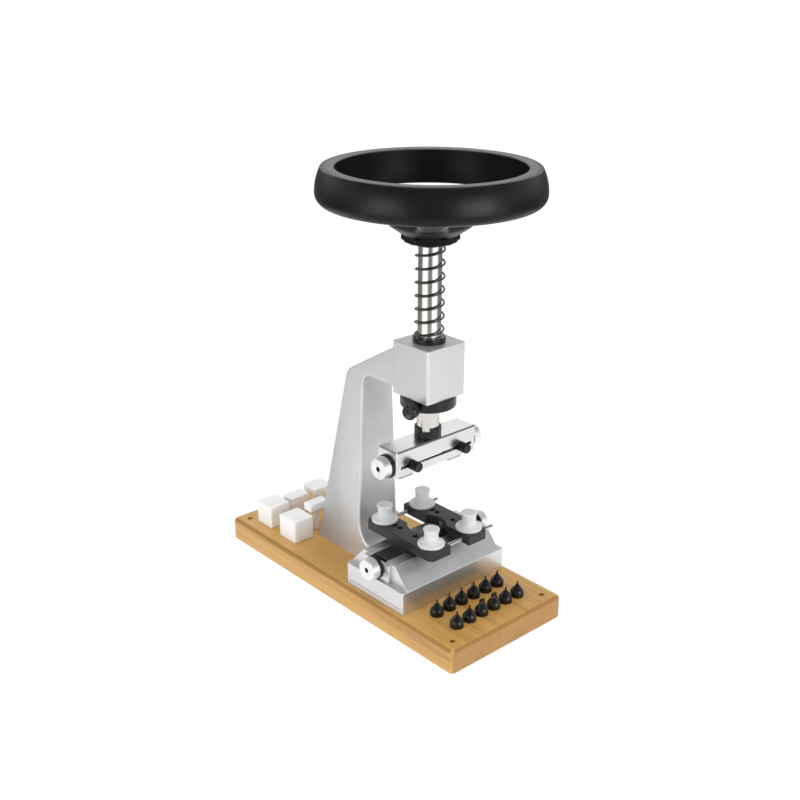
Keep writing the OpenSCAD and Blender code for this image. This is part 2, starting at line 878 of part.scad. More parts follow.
module tee_block_front() tee_block(tee_places[0], [19, 10, 8.5], 0);
module tee_block_rear() tee_block(tee_places[1], [19, 13, 7], 12);
module tee_block_right() tee_block([14, 111, 20, false], [cube_side, 18, 6.5], 9);

// A bit: shank in the board, round collar, and a cone that ends in its working tip.
// The pair in the middle of the front row has broad blades.
module bit(broad) {
    rotate_extrude()
        polygon(rounded([[0, -6.5, 0], [1.9, -6.5, 0], [1.9, 0.05, 0], [bit_r, 0.05, 0.3],
            [bit_r, 4.2, 1], [4.4, 5.8, 1.5], [broad ? 2.8 : 1.7, 9.8, 2],
            [broad ? 2.4 : 0.8, 11.8, 0], [0, 11.8, 0]], 3));
    if (broad)
        translate([-2.2, -0.7, 11])
            cube([4.4, 1.4, 1.8]);
    else
        translate([0, 0, 11])
            cylinder(r = 0.6, h = 1.8);
}

module bit_pair(n)
    color("darkslategray")
        for (i = [2 * n - 2, 2 * n - 1])
            bit_place(i)
                bit(n == 5);

base_board();
frame_casting();
frame_screws();
head_bush();
lock_ring();
lock_screw();
return_spring();
spring_cap();
spindle();
hub_nut();
handwheel();
wheel_washer();
wheel_screw();
coupling_collar();
spindle_bolt();
chuck_body();
chuck_bush_left();
chuck_bush_right();
chuck_screw();
chuck_knob_left();
chuck_knob_right();
chuck_set_screws();
jaw_left();
jaw_right();
thumb_screw_left();
thumb_screw_right();
vise_body();
vise_bolts();
vise_plate_left();
vise_plate_right();
vise_plate_screws();
vise_ring_left();
vise_ring_right();
vise_screw();
vise_knob_left();
vise_knob_right();
vise_set_screws();
slide_left();
slide_right();
slide_pins_left();
slide_pins_right();
bar_left();
bar_right();
guide_rod_front();
guide_rod_rear();
post_front_left();
post_front_right();
post_rear_left();
post_rear_right();
cube_front_left();
cube_rear_left();
tee_block_front();
tee_block_rear();
tee_block_right();
bit_pair(1);  // bit_pair_1
bit_pair(2);  // bit_pair_2
bit_pair(3);  // bit_pair_3
bit_pair(4);  // bit_pair_4
bit_pair(5);  // bit_pair_5
bit_pair(6);  // bit_pair_6
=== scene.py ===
# %% [markdown]
# # A bench press for watch case backs
#
# The press stands on a varnished board. A handwheel turns and presses a sprung spindle, the
# spindle carries a crosshead with two sliding jaws, and a small vise holds the watch below it.
# The frame that is loaded here is exact: every part has its place, its size and its joint.
# This file gives that frame its looks, one piece and one finish at a time.

# %% Load the frame
import json
import bpy
import bmesh
import numpy as np
from mathutils import Matrix, Vector

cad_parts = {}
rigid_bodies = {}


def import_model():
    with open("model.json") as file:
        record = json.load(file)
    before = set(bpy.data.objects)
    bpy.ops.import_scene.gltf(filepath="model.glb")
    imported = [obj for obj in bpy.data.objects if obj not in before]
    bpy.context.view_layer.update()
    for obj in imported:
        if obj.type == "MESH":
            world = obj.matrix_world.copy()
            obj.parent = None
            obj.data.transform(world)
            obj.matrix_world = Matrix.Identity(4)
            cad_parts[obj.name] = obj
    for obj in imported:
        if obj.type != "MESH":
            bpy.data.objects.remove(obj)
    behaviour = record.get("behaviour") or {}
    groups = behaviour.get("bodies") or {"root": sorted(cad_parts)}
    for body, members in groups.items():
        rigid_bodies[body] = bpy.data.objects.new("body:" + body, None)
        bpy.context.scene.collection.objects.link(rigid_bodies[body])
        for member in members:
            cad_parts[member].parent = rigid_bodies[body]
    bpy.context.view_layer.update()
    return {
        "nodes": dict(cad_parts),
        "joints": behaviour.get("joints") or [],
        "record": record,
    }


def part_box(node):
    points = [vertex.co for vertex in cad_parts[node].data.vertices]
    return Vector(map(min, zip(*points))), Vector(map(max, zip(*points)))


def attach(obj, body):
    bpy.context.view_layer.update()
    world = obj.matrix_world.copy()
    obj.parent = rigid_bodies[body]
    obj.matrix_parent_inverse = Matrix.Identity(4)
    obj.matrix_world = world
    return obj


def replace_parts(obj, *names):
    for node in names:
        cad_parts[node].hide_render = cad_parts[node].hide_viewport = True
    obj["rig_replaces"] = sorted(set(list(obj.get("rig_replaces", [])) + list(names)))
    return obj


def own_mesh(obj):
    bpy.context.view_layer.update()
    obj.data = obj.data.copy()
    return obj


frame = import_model()
MM = 0.001

# %% [markdown]
# ## Where things are
#
# Every size below is in millimetres, because a watchmaker's tool is drawn in millimetres, and it
# is turned into metres once, when a mesh is made. The main places are read from the frame.

# %% Read the driving places
low = {n: np.array(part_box(n)[0]) / MM for n in frame["nodes"]}
high = {n: np.array(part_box(n)[1]) / MM for n in frame["nodes"]}
axis_y = float(low["spindle"][1] + high["spindle"][1]) / 2
AXIS = (0, axis_y, 0)
screw_z = float(low["chuck_screw"][2] + high["chuck_screw"][2]) / 2
board_top = float(high["base_board"][2])
print(f"working axis at y = {axis_y:.1f} mm, board top at z = {board_top:.1f} mm")

# %% [markdown]
# ## The camera
#
# The press is seen from its front left corner, a little from above, through a normal lens. The
# camera is turned in three steps: level and north, then round the vertical, then tipped down.

# %% Camera
CAMERA_PLACE = (-559.43, -637.47, 499.77)
CAMERA_TURN, CAMERA_DIP, CAMERA_ROLL = np.radians([41.964, 21.897, 0.257])

camera = bpy.data.objects.new("camera", bpy.data.cameras.new("camera"))
bpy.context.scene.collection.objects.link(camera)
camera.data.lens = 51.84
camera.data.sensor_width = 36
camera.data.clip_start, camera.data.clip_end = 0.05, 60
camera.matrix_world = (
    Matrix.Translation(Vector(CAMERA_PLACE) * MM)
    @ Matrix.Rotation(-CAMERA_TURN, 4, "Z")
    @ Matrix.Rotation(np.pi / 2 - CAMERA_DIP, 4, "X")
    @ Matrix.Rotation(CAMERA_ROLL, 4, "Z")
)
bpy.context.scene.camera = camera
print("camera at", [round(x, 3) for x in camera.matrix_world.translation])

# %% [markdown]
# ## Shader arithmetic
#
# A procedural finish is arithmetic on positions. A small class wraps an output socket, so that
# an expression such as `1 - mask * 0.4` adds the Math nodes for it, and one method makes every
# other kind of node.

# %% A socket that can be added, multiplied and compared
class Signal:
    """An output socket. Arithmetic on it adds Math nodes to the same material."""

    def __init__(self, tree, socket):
        self.tree, self.socket = tree, socket

    def node(self, kind, settings=None, sockets=None, out=0):
        """Adds a node: its settings are set first, then its sockets' values or links."""
        made = self.tree.nodes.new(kind)
        for name, value in (settings or {}).items():
            setattr(made, name, value)
        for name, value in (sockets or {}).items():
            if isinstance(value, Signal):
                self.tree.links.new(value.socket, made.inputs[name])
            else:
                made.inputs[name].default_value = value
        return Signal(self.tree, made.outputs[out])

    def math(self, operation, a, b=0.0):
        return self.node("ShaderNodeMath", {"operation": operation}, {0: a, 1: b})

    def __add__(self, other):
        return self.math("ADD", self, other)

    def __sub__(self, other):
        return self.math("SUBTRACT", self, other)

    def __rsub__(self, other):
        return self.math("SUBTRACT", other, self)

    def __mul__(self, other):
        return self.math("MULTIPLY", self, other)

    def __truediv__(self, other):
        return self.math("DIVIDE", self, other)

    def __pow__(self, other):
        return self.math("POWER", self, other)

    __radd__ = __add__
    __rmul__ = __mul__

    def sine(self):
        return self.math("SINE", self)

    def between(self, start, end, to_start=0.0, to_end=1.0):
        """A smooth step from to_start to to_end while this value goes from start to end."""
        settings = {"interpolation_type": "SMOOTHSTEP", "clamp": True}
        return self.node("ShaderNodeMapRange", settings, {
            "Value": self, "From Min": start, "From Max": end,
            "To Min": to_start, "To Max": to_end})


print("shader arithmetic is ready")

# %% [markdown]
# A finish starts from one Principled shader. Its constants are set on the shader's own sockets.
# What varies over the surface reaches only the sockets that a baked model keeps.

# %% The start of a finish
finishes = {}


class Finish:
    """A material with one Principled shader, and the patterns that the finishes share."""

    def __init__(self, name, **constants):
        finishes[name] = self
        self.material = bpy.data.materials.new(name)
        self.material.use_nodes = True
        tree = self.material.node_tree
        self.shader = tree.nodes["Principled BSDF"]
        self.set(**constants)
        coordinates = tree.nodes.new("ShaderNodeTexCoord")
        self.place = Signal(tree, coordinates.outputs["Object"])
        parts = tree.nodes.new("ShaderNodeSeparateXYZ")
        tree.links.new(self.place.socket, parts.inputs[0])
        self.x, self.y, self.z = (Signal(tree, parts.outputs[i]) for i in range(3))

    def set(self, **values):
        """Sets or links sockets of the shader, with _ for a space in a socket's name."""
        for name, value in values.items():
            socket = self.shader.inputs[name.replace("_", " ")]
            if isinstance(value, Signal):
                value.tree.links.new(value.socket, socket)
            else:
                socket.default_value = (*value, 1.0) if np.size(value) == 3 else value

    def stretched(self, scale):
        """The position, with each axis scaled by its own number of features per metre."""
        return self.place.node("ShaderNodeMapping", None, {"Vector": self.place, "Scale": scale})

    def noise(self, scale, detail=2.0, roughness=0.5, at=None):
        """Soft noise from 0 to 1, with the given features per metre, or per axis."""
        if np.size(scale) == 3:
            at, scale = self.stretched(scale), 1.0
        return self.place.node("ShaderNodeTexNoise", None, {
            "Vector": at or self.place, "Scale": scale, "Detail": detail, "Roughness": roughness})

    def blend(self, factor, first, second):
        """A mix of two colours, from first at 0 to second at 1."""
        first, second = [c if isinstance(c, Signal) else (*c, 1.0) for c in (first, second)]
        sockets = {0: factor, 6: first, 7: second}
        return self.place.node("ShaderNodeMix", {"data_type": "RGBA"}, sockets, 2)

    def bump(self, height, depth):
        """Feeds a height from 0 to 1, as deep as depth in metres, to the shader's normal."""
        self.set(Normal=self.place.node("ShaderNodeBump", None, {"Distance": depth, "Height": height}))

    def radius(self, centre):
        """Distance from a line through the centre, given as the two positions across the line."""
        (a, a0), (b, b0) = centre
        return ((a - a0) ** 2.0 + (b - b0) ** 2.0) ** 0.5


print("finishes can be made")

# %% [markdown]
# ## Varnished wood
#
# The board is one piece of pale honey-coloured hardwood, sawn along its length and varnished.
# Growth rings are thin shells round a line that lies far below the board, so that they show as
# long streaks on the top and as arcs on the ends. Denser growth draws brown bands, and pores are
# short dark dashes along the grain. The ends are browner, partly for their end grain and partly as
# painted shade, and a band of painted shade runs along the rounded top edges.

# %% The board's finish
wood = Finish("varnished_wood", Coat_Weight=0.25, Coat_Roughness=0.22, IOR=1.4)
drift = wood.noise((9, 2.2, 9), detail=3) * 0.030
ring_line = ((wood.x + drift, 0.035), (wood.z, -0.26))
rings = (wood.radius(ring_line) * 900 + wood.noise((60, 5, 60)) * 3.0).sine() * 0.5 + 0.5
streaks = wood.noise((420, 7, 420), detail=4, roughness=0.62)
fibres = wood.noise((2600, 60, 2600), detail=2)
pores = wood.noise((1500, 90, 1500), detail=1).between(0.66, 0.74)
tone = wood.noise((14, 3, 14), detail=1)
bands = wood.noise((85, 3, 85), detail=3, roughness=0.6).between(0.46, 0.70)
pale, honey, brown = (0.66, 0.380, 0.105), (0.54, 0.290, 0.066), (0.30, 0.140, 0.032)
colour = wood.blend(rings * 0.30 + streaks * 0.45, pale, honey)
colour = wood.blend(tone.between(0.35, 0.75) * 0.25, colour, honey)
colour = wood.blend(bands * 0.55 + pores * 0.45, colour, brown)
across, along = (wood.x * wood.x) ** 0.5, (wood.y * wood.y) ** 0.5
# Both end faces are painted browner: partly their darker end grain, partly painted shade like that on
# the less lit front end.
colour = wood.blend(along.between(0.1382, 0.1396) * 0.70, colour, brown)
# A brown band of painted shade runs along the rounded top edges, where the turning surface shows darker.
side_edge_painted_shade = (across + wood.z).between(0.0769, 0.0781)
end_edge_painted_shade = (along + wood.z).between(0.1569, 0.1581)
edge = wood.place.math("MAXIMUM", side_edge_painted_shade, end_edge_painted_shade)
colour = wood.blend(edge * 0.75, colour, brown)
wood.set(Base_Color=colour, Roughness=streaks * 0.18 + 0.30)
wood.bump(fibres * 0.5 + streaks * 0.3 - pores * 0.5, 0.00005)
print("varnished wood: rings, streaks, fibres and pores")

# %% [markdown]
# ## Metals
#
# Bare metal has no colour of its own but a tint of what it reflects, so what tells the metals
# apart is how they were worked. The frame casting is linished up and down, the vise and the
# crosshead are milled along their length, and the knobs and the spindle are turned. Each of
# these leaves fine lines, which are noise stretched along the tool's path.

# %% A worked metal
def worked_metal(slot, tint, rough, along, lines=1400, bare=1.0, satin=0.0):
    """Metal with fine tool marks along one axis, and slow changes of polish over its faces. What
    lies low, near the board, is rougher by satin."""
    metal = Finish(slot, Metallic=bare)
    scale = [lines] * 3
    scale["xyz".index(along)] = lines / 60
    marks = metal.noise(tuple(scale), detail=3, roughness=0.65)
    cloud = metal.noise(38, detail=3)
    specks = metal.noise(2400, detail=1).between(0.68, 0.80)
    low_down = metal.z.between(0.075, 0.10, satin, 0)
    metal.set(Roughness=(marks - 0.5) * 0.12 + cloud * 0.10 + low_down + (rough - 0.05))
    worn = [c * 0.86 for c in tint]
    metal.set(Base_Color=metal.blend(cloud.between(0.3, 0.8) * 0.5 + specks * 0.3, tint, worn))
    metal.bump(marks, 0.000004)


worked_metal("silver_casting", (0.64, 0.64, 0.645), 0.42, "z", lines=900, bare=0.6)
worked_metal("machined_aluminium", (0.72, 0.72, 0.725), 0.26, "x", satin=0.13)
worked_metal("jaw_metal", (0.36, 0.31, 0.24), 0.36, "x")
worked_metal("zinc_screw", (0.52, 0.52, 0.53), 0.34, "z", lines=2000)
print("milled and linished metals:", [s for s in finishes if s != "varnished_wood"])

# %% [markdown]
# A turned piece has marks that run round its axis. A mark is a ring of one depth, so the noise
# depends only on the distance along the axis and the distance from it.

# %% A turned metal
def turned_metal(slot, tint, rough, axis, pitch, depth):
    """Metal with fine rings round the working axis, or round the crosshead's lead screw."""
    metal = Finish(slot, Metallic=1.0)
    across = (metal.x, 0.0) if axis == "z" else (metal.z, screw_z * MM)
    reach = metal.radius((across, (metal.y, axis_y * MM)))
    along = metal.z if axis == "z" else metal.x
    place = metal.place.node("ShaderNodeCombineXYZ", None, {0: along, 1: reach, 2: 0.0})
    rings = metal.noise(1 / (pitch * MM), detail=2, at=place)
    cloud = metal.noise(60, detail=3)
    metal.set(Roughness=rings * 0.10 + cloud * 0.08 + (rough - 0.09))
    metal.set(Base_Color=metal.blend(cloud * 0.35, tint, [c * 0.88 for c in tint]))
    metal.bump(rings, depth)


turned_metal("polished_steel", (0.66, 0.64, 0.61), 0.15, "z", 0.5, 0.000002)
turned_metal("turned_knob", (0.86, 0.86, 0.85), 0.42, "x", 0.25, 0.000006)
print("turned metals: spindle and knobs")

# %% [markdown]
# ## Black finishes
#
# Three blacks are on the press. The wheel has a smooth enamel with a faint orange peel, and its
# flat top is painted paler, a painted reflection of the bright tent. The bars are anodised and
# slightly grey, and the bits, rings and screws are blackened steel with a mottled, oily sheen.

# %% Enamel, anodised bar and blackened steel
enamel = Finish("black_enamel", Specular_IOR_Level=0.18)
peel = enamel.noise(420, detail=2)
dust = enamel.noise(2200, detail=2).between(0.70, 0.82)
colour = enamel.blend(dust * 0.35, (0.004, 0.004, 0.0042), (0.020, 0.020, 0.021))
from_axis = enamel.radius(((enamel.x, 0.0), (enamel.y, axis_y * MM)))
# The rim's flat top is painted paler: a painted reflection of the bright tent, which a glossy black top
# shows at a low angle.
painted_top_reflection = enamel.z.between(0.3500, 0.3507) * from_axis.between(0.0735, 0.0775, 1, 0)
enamel.set(Base_Color=enamel.blend(painted_top_reflection, colour, (0.08, 0.08, 0.082)))
enamel.set(Roughness=enamel.noise(26, detail=3) * 0.12 + 0.29)
enamel.bump(peel, 0.00002)

anodised = Finish("black_bar", Specular_IOR_Level=0.35)
milled = anodised.noise((1600, 45, 1600), detail=3, roughness=0.6)
anodised.set(Base_Color=anodised.blend(milled, (0.014, 0.014, 0.016), (0.032, 0.032, 0.037)))
anodised.set(Roughness=milled * 0.12 + 0.30)
anodised.bump(milled, 0.000010)

blackened = Finish("black_oxide", Specular_IOR_Level=0.35)
mottle = blackened.noise(520, detail=4, roughness=0.6)
blackened.set(Base_Color=blackened.blend(
    mottle.between(0.35, 0.75), (0.004, 0.004, 0.0043), (0.013, 0.0125, 0.0125)))
blackened.set(Roughness=mottle * 0.20 + 0.16)
blackened.bump(mottle, 0.000018)

wire = Finish("spring_steel", Metallic=0.85)
drawn = wire.noise(1800, detail=2)
wire.set(Base_Color=wire.blend(drawn, (0.055, 0.053, 0.050), (0.11, 0.105, 0.10)))
wire.set(Roughness=drawn * 0.15 + 0.25)
print("black finishes:", ["black_enamel", "black_bar", "black_oxide", "spring_steel"])

# %% [markdown]
# ## White and milky nylon
#
# The support blocks are sawn from white nylon, and the posts are turned from a milkier grade.
# Light goes a little way into both, which softens their shaded sides, so they get subsurface
# scattering. Tool marks are very faint, and handling leaves slow changes in the sheen.

# %% Nylon
def nylon(slot, tint, shaded, depth, rough):
    """A white plastic with light scattered below its surface, to the given depth in metres."""
    made = Finish(slot, Subsurface_Weight=0.3, Subsurface_Scale=depth, IOR=1.53)
    made.shader.inputs["Subsurface Radius"].default_value = (1.0, 0.9, 0.8)
    marks = made.noise((240, 240, 2600), detail=2)
    handled = made.noise(70, detail=3)
    made.set(Base_Color=made.blend(handled.between(0.4, 0.8) * 0.5, tint, shaded))
    made.set(Roughness=handled * 0.20 + (rough - 0.1))
    made.bump(marks, 0.000015)


nylon("white_nylon", (0.93, 0.925, 0.92), (0.87, 0.865, 0.85), 0.004, 0.50)
nylon("milky_nylon", (0.65, 0.67, 0.665), (0.59, 0.61, 0.605), 0.006, 0.34)

# %% [markdown]
# ## Surfaces from numbers
#
# Most pieces are made from two kinds of surface. A turned piece is a half outline carried round
# an axis, and a plate is a closed outline carried from one face to the other. Both are grids of
# points, so one helper joins neighbouring points into faces.

# %% Grids
def grid_faces(rows, columns, closed_rows=False, closed_columns=True):
    """Four-cornered faces between neighbours of a grid of rows by columns points."""
    i = np.arange(rows if closed_rows else rows - 1)[:, None]
    j = np.arange(columns if closed_columns else columns - 1)[None, :]
    k, m = (i + 1) % rows, (j + 1) % columns
    i, k = i * columns, k * columns
    return np.stack(np.broadcast_arrays(i + j, i + m, k + m, k + j), -1).reshape(-1, 4)


def eased(corners, steps=6, closed=False):
    """An outline from corners (a, b, radius). A corner with a radius becomes an arc that touches
    both of its sides: its centre lies on the bisector, radius / sin(half angle) from the corner."""
    xy = np.array([c[:2] for c in corners], float)
    made = []
    for i, (a, b, radius) in enumerate(corners):
        if radius == 0 or (not closed and i in (0, len(corners) - 1)):
            made.append([(a, b)])
            continue
        u = xy[i - 1] - xy[i]
        v = xy[(i + 1) % len(xy)] - xy[i]
        u, v = u / np.linalg.norm(u), v / np.linalg.norm(v)
        half = np.arccos(np.clip(u @ v, -1, 1)) / 2
        centre = xy[i] + (u + v) / np.linalg.norm(u + v) * radius / np.sin(half)
        start = xy[i] + u * radius / np.tan(half) - centre
        end = xy[i] + v * radius / np.tan(half) - centre
        sweep = np.pi - 2 * half
        t = np.linspace(0, sweep, steps + 1)[:, None]
        made.append(centre + (np.sin(sweep - t) * start + np.sin(t) * end) / np.sin(sweep))
    return np.concatenate(made)


def arc(centre, radius, start, end, steps):
    """Points of an arc between two angles in degrees."""
    turn = np.radians(np.linspace(start, end, steps + 1))
    return np.stack([centre[0] + radius * np.cos(turn), centre[1] + radius * np.sin(turn)], 1)


print("an eased square corner has", len(eased([(0, 0, 1), (9, 0, 1), (9, 9, 1)])), "points")

# %% [markdown]
# A knurl or a hexagon is the same turned surface with its radius changed by a formula, so the
# turning helper takes a function of the angle, the height and the radius.

# %% Turned surfaces
def turned(outline, centre=(0, 0, 0), axis="z", around=96, shape=None, ring=False):
    """A half outline of (radius, height) points carried round an axis. A point at angle a is
    radius times (cos a, sin a) across the axis, and height along it. shape(a, height, radius)
    may give another radius. A ring's outline is closed, and any other ends on the axis."""
    outline = np.asarray(outline, float)
    angle = np.linspace(0, 2 * np.pi, around, endpoint=False)[None, :]
    radius = np.repeat(outline[:, :1], around, 1)
    height = np.repeat(outline[:, 1:], around, 1)
    if shape:
        radius = shape(angle, height, radius)
    across, up = radius * np.cos(angle), radius * np.sin(angle)
    points = {"z": (across, up, height), "x": (height, across, up), "-x": (-height, up, across),
              "-y": (across, -height, up)}[axis]
    points = np.stack(points, -1).reshape(-1, 3) + np.asarray(centre, float)
    return points, grid_faces(len(outline), around, closed_rows=ring)


def stood(corners, **more):
    """A turned surface from corners (radius, height, easing), closed on the axis at both ends."""
    return turned(eased([(0, corners[0][1], 0), *corners, (0, corners[-1][1], 0)]), **more)


print("a turned bush has", len(stood([(5, 0, 1), (5, 9, 1)])[0]), "points")

# %% [markdown]
# ## Plates
#
# A plate's wall is a stack of copies of its outline. Near each face the copies shrink along a
# quarter circle, which eases the edge. Holes are stacks of circles, and the two faces are
# filled between the last copy of the outline and the circles.

# %% Plates with eased edges and holes
def inward(outline):
    """The unit direction into a counter-clockwise outline at each point: its tangent, turned left."""
    tangent = np.roll(outline, -1, 0) - np.roll(outline, 1, 0)
    tangent /= np.linalg.norm(tangent, axis=1)[:, None]
    return np.stack([-tangent[:, 1], tangent[:, 0]], 1)


def wall(outline, z0, z1, edge0, edge1, steps=4):
    """The outline carried from z0 to z1, pulled in by edge0 and edge1 at its two faces along
    quarter circles. An edge is one number, or one for each point."""
    t = np.linspace(0, np.pi / 2, steps + 1)[:, None]
    edge0, edge1 = [np.broadcast_to(e, len(outline)) for e in (edge0, edge1)]
    inset = np.concatenate([edge0 * (1 - np.sin(t)), edge1 * (1 - np.cos(t))])
    height = np.concatenate([z0 + edge0 * (1 - np.cos(t)), z1 - edge1 * (1 - np.sin(t))])
    flat = outline[None] + inset[:, :, None] * inward(outline)[None]
    points = np.concatenate([flat, height[:, :, None]], 2).reshape(-1, 3)
    return points, grid_faces(len(height), len(outline))


def plate(outline, z0, z1, edge0=0.5, edge1=0.5, holes=(), around=48, steps=4):
    """A closed plate with eased edges, or with plain chamfers if it is made in one step. A hole
    is (x, y, radius, chamfer, bottom), and it goes right through if bottom is None."""
    shells = [wall(outline, z0, z1, edge0, edge1, steps)]
    for x, y, radius, chamfer, bottom in holes:
        through = bottom is None
        ends = [(radius + chamfer, z1), (radius, z1 - chamfer)]
        below = [(radius, z0 + chamfer), (radius + chamfer, z0)]
        ends += below if through else [(radius, bottom), (0, bottom)]
        shells.append(turned(ends, (x, y, 0), around=around))
    points, faces = joined(shells)
    mesh = bmesh.new()
    made = [mesh.verts.new(p) for p in points]
    for face in faces:
        mesh.faces.new([made[i] for i in face])
    bmesh.ops.remove_doubles(mesh, verts=mesh.verts, dist=1e-5)
    for z in (z0, z1):
        rim = [e for e in mesh.edges if e.is_boundary and all(abs(v.co.z - z) < 1e-4 for v in e.verts)]
        bmesh.ops.triangle_fill(mesh, use_beauty=True, edges=rim, normal=(0, 0, 1))
    mesh.verts.index_update()
    points = np.array([v.co[:] for v in mesh.verts])
    faces = [[v.index for v in f.verts] for f in mesh.faces]
    mesh.free()
    return points, faces


def joined(shells):
    """Several surfaces as one list of points and one list of faces."""
    starts = np.cumsum([0] + [len(p) for p, _ in shells[:-1]])
    faces = [[start + i for i in face] for start, (_, fs) in zip(starts, shells) for face in fs]
    return np.concatenate([p for p, _ in shells]), faces


def rectangle(x, y, width, depth, radius, steps=5):
    """A rectangle round (x, y) with arcs of the radius at its corners."""
    ways = [(-1, -1), (1, -1), (1, 1), (-1, 1)]
    corners = [(x + a * width / 2, y + b * depth / 2, radius) for a, b in ways]
    return eased(corners, steps, closed=True)


drilled = plate(rectangle(0, 0, 9, 9, 1), 0, 2, holes=[(0, 0, 2, 0.2, None)])
print("a drilled plate has", len(drilled[1]), "faces")

# %% [markdown]
# ## From surface to piece
#
# A piece takes its body and its slot from the record, by the name of the part that it stands
# for. Its seams and poles are merged, its faces are turned outwards, and only edges that are
# really sharp stay sharp. Large flat faces keep their own direction in the shading, which
# leaves all the turning to the narrow eased edges.

# %% Pieces
body_of = {n: b for b, nodes in frame["record"]["behaviour"]["bodies"].items() for n in nodes}
slot_of = {s["node"]: s["material_slot"] for s in frame["record"]["subparts"]}


def dressed(obj, node):
    """Gives a piece its finish and its body, and lets it stand for one part of the frame."""
    slot = slot_of[node]
    obj.data.materials.clear()
    obj.data.materials.append(finishes[slot].material)
    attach(obj, body_of[node])
    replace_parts(obj, node)
    return obj


def new_object(name, mesh):
    made = bpy.data.objects.new(name, mesh)
    bpy.context.scene.collection.objects.link(made)
    return made


def tidy_mesh(data, sharp):
    """Merges seams and poles, drops faces without area, and turns faces outwards."""
    mesh = bmesh.new()
    mesh.from_mesh(data)
    bmesh.ops.remove_doubles(mesh, verts=mesh.verts, dist=2e-7)
    bmesh.ops.dissolve_degenerate(mesh, edges=mesh.edges, dist=1e-7)
    bmesh.ops.recalc_face_normals(mesh, faces=mesh.faces)
    mesh.to_mesh(data)
    mesh.free()
    data.shade_smooth()
    data.set_sharp_from_angle(angle=np.radians(sharp))


def level_faces(obj):
    """Lets large faces set the shading at shared corners."""
    weighted = obj.modifiers.new("level faces", "WEIGHTED_NORMAL")
    weighted.keep_sharp = True
    return obj


def built(name, shells, sharp=38):
    """An object from surfaces in millimetres, without a finish."""
    points, faces = joined(shells)
    data = bpy.data.meshes.new(name)
    data.from_pydata((points * MM).tolist(), [], faces)
    tidy_mesh(data, sharp)
    return new_object(name, data)


def piece(node, shells, sharp=38):
    """One piece from surfaces in millimetres, standing for the part called node."""
    return dressed(level_faces(built(node + "_made", shells, sharp)), node)


def as_surface(obj):
    """The points, in millimetres, and the faces that an object's modifiers leave. The object
    itself is taken away."""
    done = bpy.data.meshes.new_from_object(obj.evaluated_get(bpy.context.evaluated_depsgraph_get()))
    points = np.array([v.co[:] for v in done.vertices]) / MM
    faces = [list(p.vertices) for p in done.polygons]
    bpy.data.objects.remove(obj)
    return points, faces


# %% [markdown]
# ## Parts with pockets and slots
#
# The slides, the jaws and the end plates are milled blocks, and the frame has their true shape
# with every slot. A copy of such a part gets what a machinist gives it last: a small break on
# every sharp edge. The copy's loose triangles are merged into flat faces first. The crosshead's
# pockets and the grooves in the vise's ends are cut out of plain blocks that are made here.

# %% Broken edges
def broken_edges(node, width):
    """A copy of a part with a narrow bevel on every edge that turns more than 30 degrees."""
    mesh = bmesh.new()
    mesh.from_mesh(frame["nodes"][node].data)
    bmesh.ops.remove_doubles(mesh, verts=mesh.verts, dist=1e-6)
    flat = np.radians(0.5)
    bmesh.ops.dissolve_limit(mesh, angle_limit=flat, verts=mesh.verts, edges=mesh.edges)
    mesh.verts.index_update()
    points = [v.co[:] for v in mesh.verts]
    faces = [[v.index for v in f.verts] for f in mesh.faces]
    mesh.free()
    data = bpy.data.meshes.new(node + "_made")
    data.from_pydata(points, [], faces)
    data.shade_smooth()
    made = new_object(node + "_made", data)
    bevel = made.modifiers.new("broken edges", "BEVEL")
    bevel.width = width * MM
    bevel.segments = 2
    bevel.limit_method = "ANGLE"
    bevel.angle_limit = np.radians(30)
    bevel.use_clamp_overlap = False
    bevel.miter_outer = "MITER_ARC"
    data.set_sharp_from_angle(angle=np.radians(60))
    return dressed(level_faces(made), node)


print("broken edges are ready")

# %% Blocks with pockets cut out
def cut(block, cutters):
    """A closed surface with other closed surfaces cut out of it, as a new surface."""
    solid = built("solid", [block])
    tools = [built("tool", [c]) for c in cutters]
    for tool in tools:
        cutting = solid.modifiers.new("cut", "BOOLEAN")
        cutting.operation, cutting.solver, cutting.object = "DIFFERENCE", "EXACT", tool
    surface = as_surface(solid)
    for tool in tools:
        bpy.data.objects.remove(tool)
    return surface


def box_between(corner0, corner1):
    """A plain box, for cutting."""
    (x0, y0, z0), (x1, y1, z1) = corner0, corner1
    return plate(rectangle((x0 + x1) / 2, (y0 + y1) / 2, x1 - x0, y1 - y0, 0.02, 1), z0, z1, 0, 0)


print("pockets can be cut")

# %% [markdown]
# ## The board
#
# A thick board with generously rounded edges. It has a screw hole in each corner, slightly
# countersunk, and holes for the pegs of two blocks and for the shanks of the bits.

# %% Board
def grid_of(*axes):
    """Every combination of the given positions, as rows."""
    return np.stack(np.meshgrid(*axes, indexing="ij"), -1).reshape(-1, len(axes))


board_half = high["base_board"][:2]
CORNER_HOLE_R, CORNER_HOLE_INSET = 2.25, (11, 11.5)
corner_holes = grid_of(*[[-h, h] for h in board_half - CORNER_HOLE_INSET])
board_holes = [(x, y, CORNER_HOLE_R, 0.5, None) for x, y in corner_holes]
tees = ["tee_block_front", "tee_block_rear"]
for tee in tees:
    x, y = (low[tee] + high[tee])[:2] / 2
    board_holes.append((x, y, 2.5, 0.3, board_top - 9))
BIT_ROWS_Y, BIT_PITCH = [-95.2, -117.0], 13.2
bit_places = [((i % 6 - 2.5) * BIT_PITCH, BIT_ROWS_Y[i // 6]) for i in range(12)]
board_holes += [(x, y, 2.2, 0.3, board_top - 8) for x, y in bit_places]
board_outline = rectangle(0, 0, *(2 * board_half), 4.5, steps=8)
piece("base_board", [plate(board_outline, 0, board_top, 2.0, 3.2, board_holes)])
print("board with", len(board_holes), "holes")

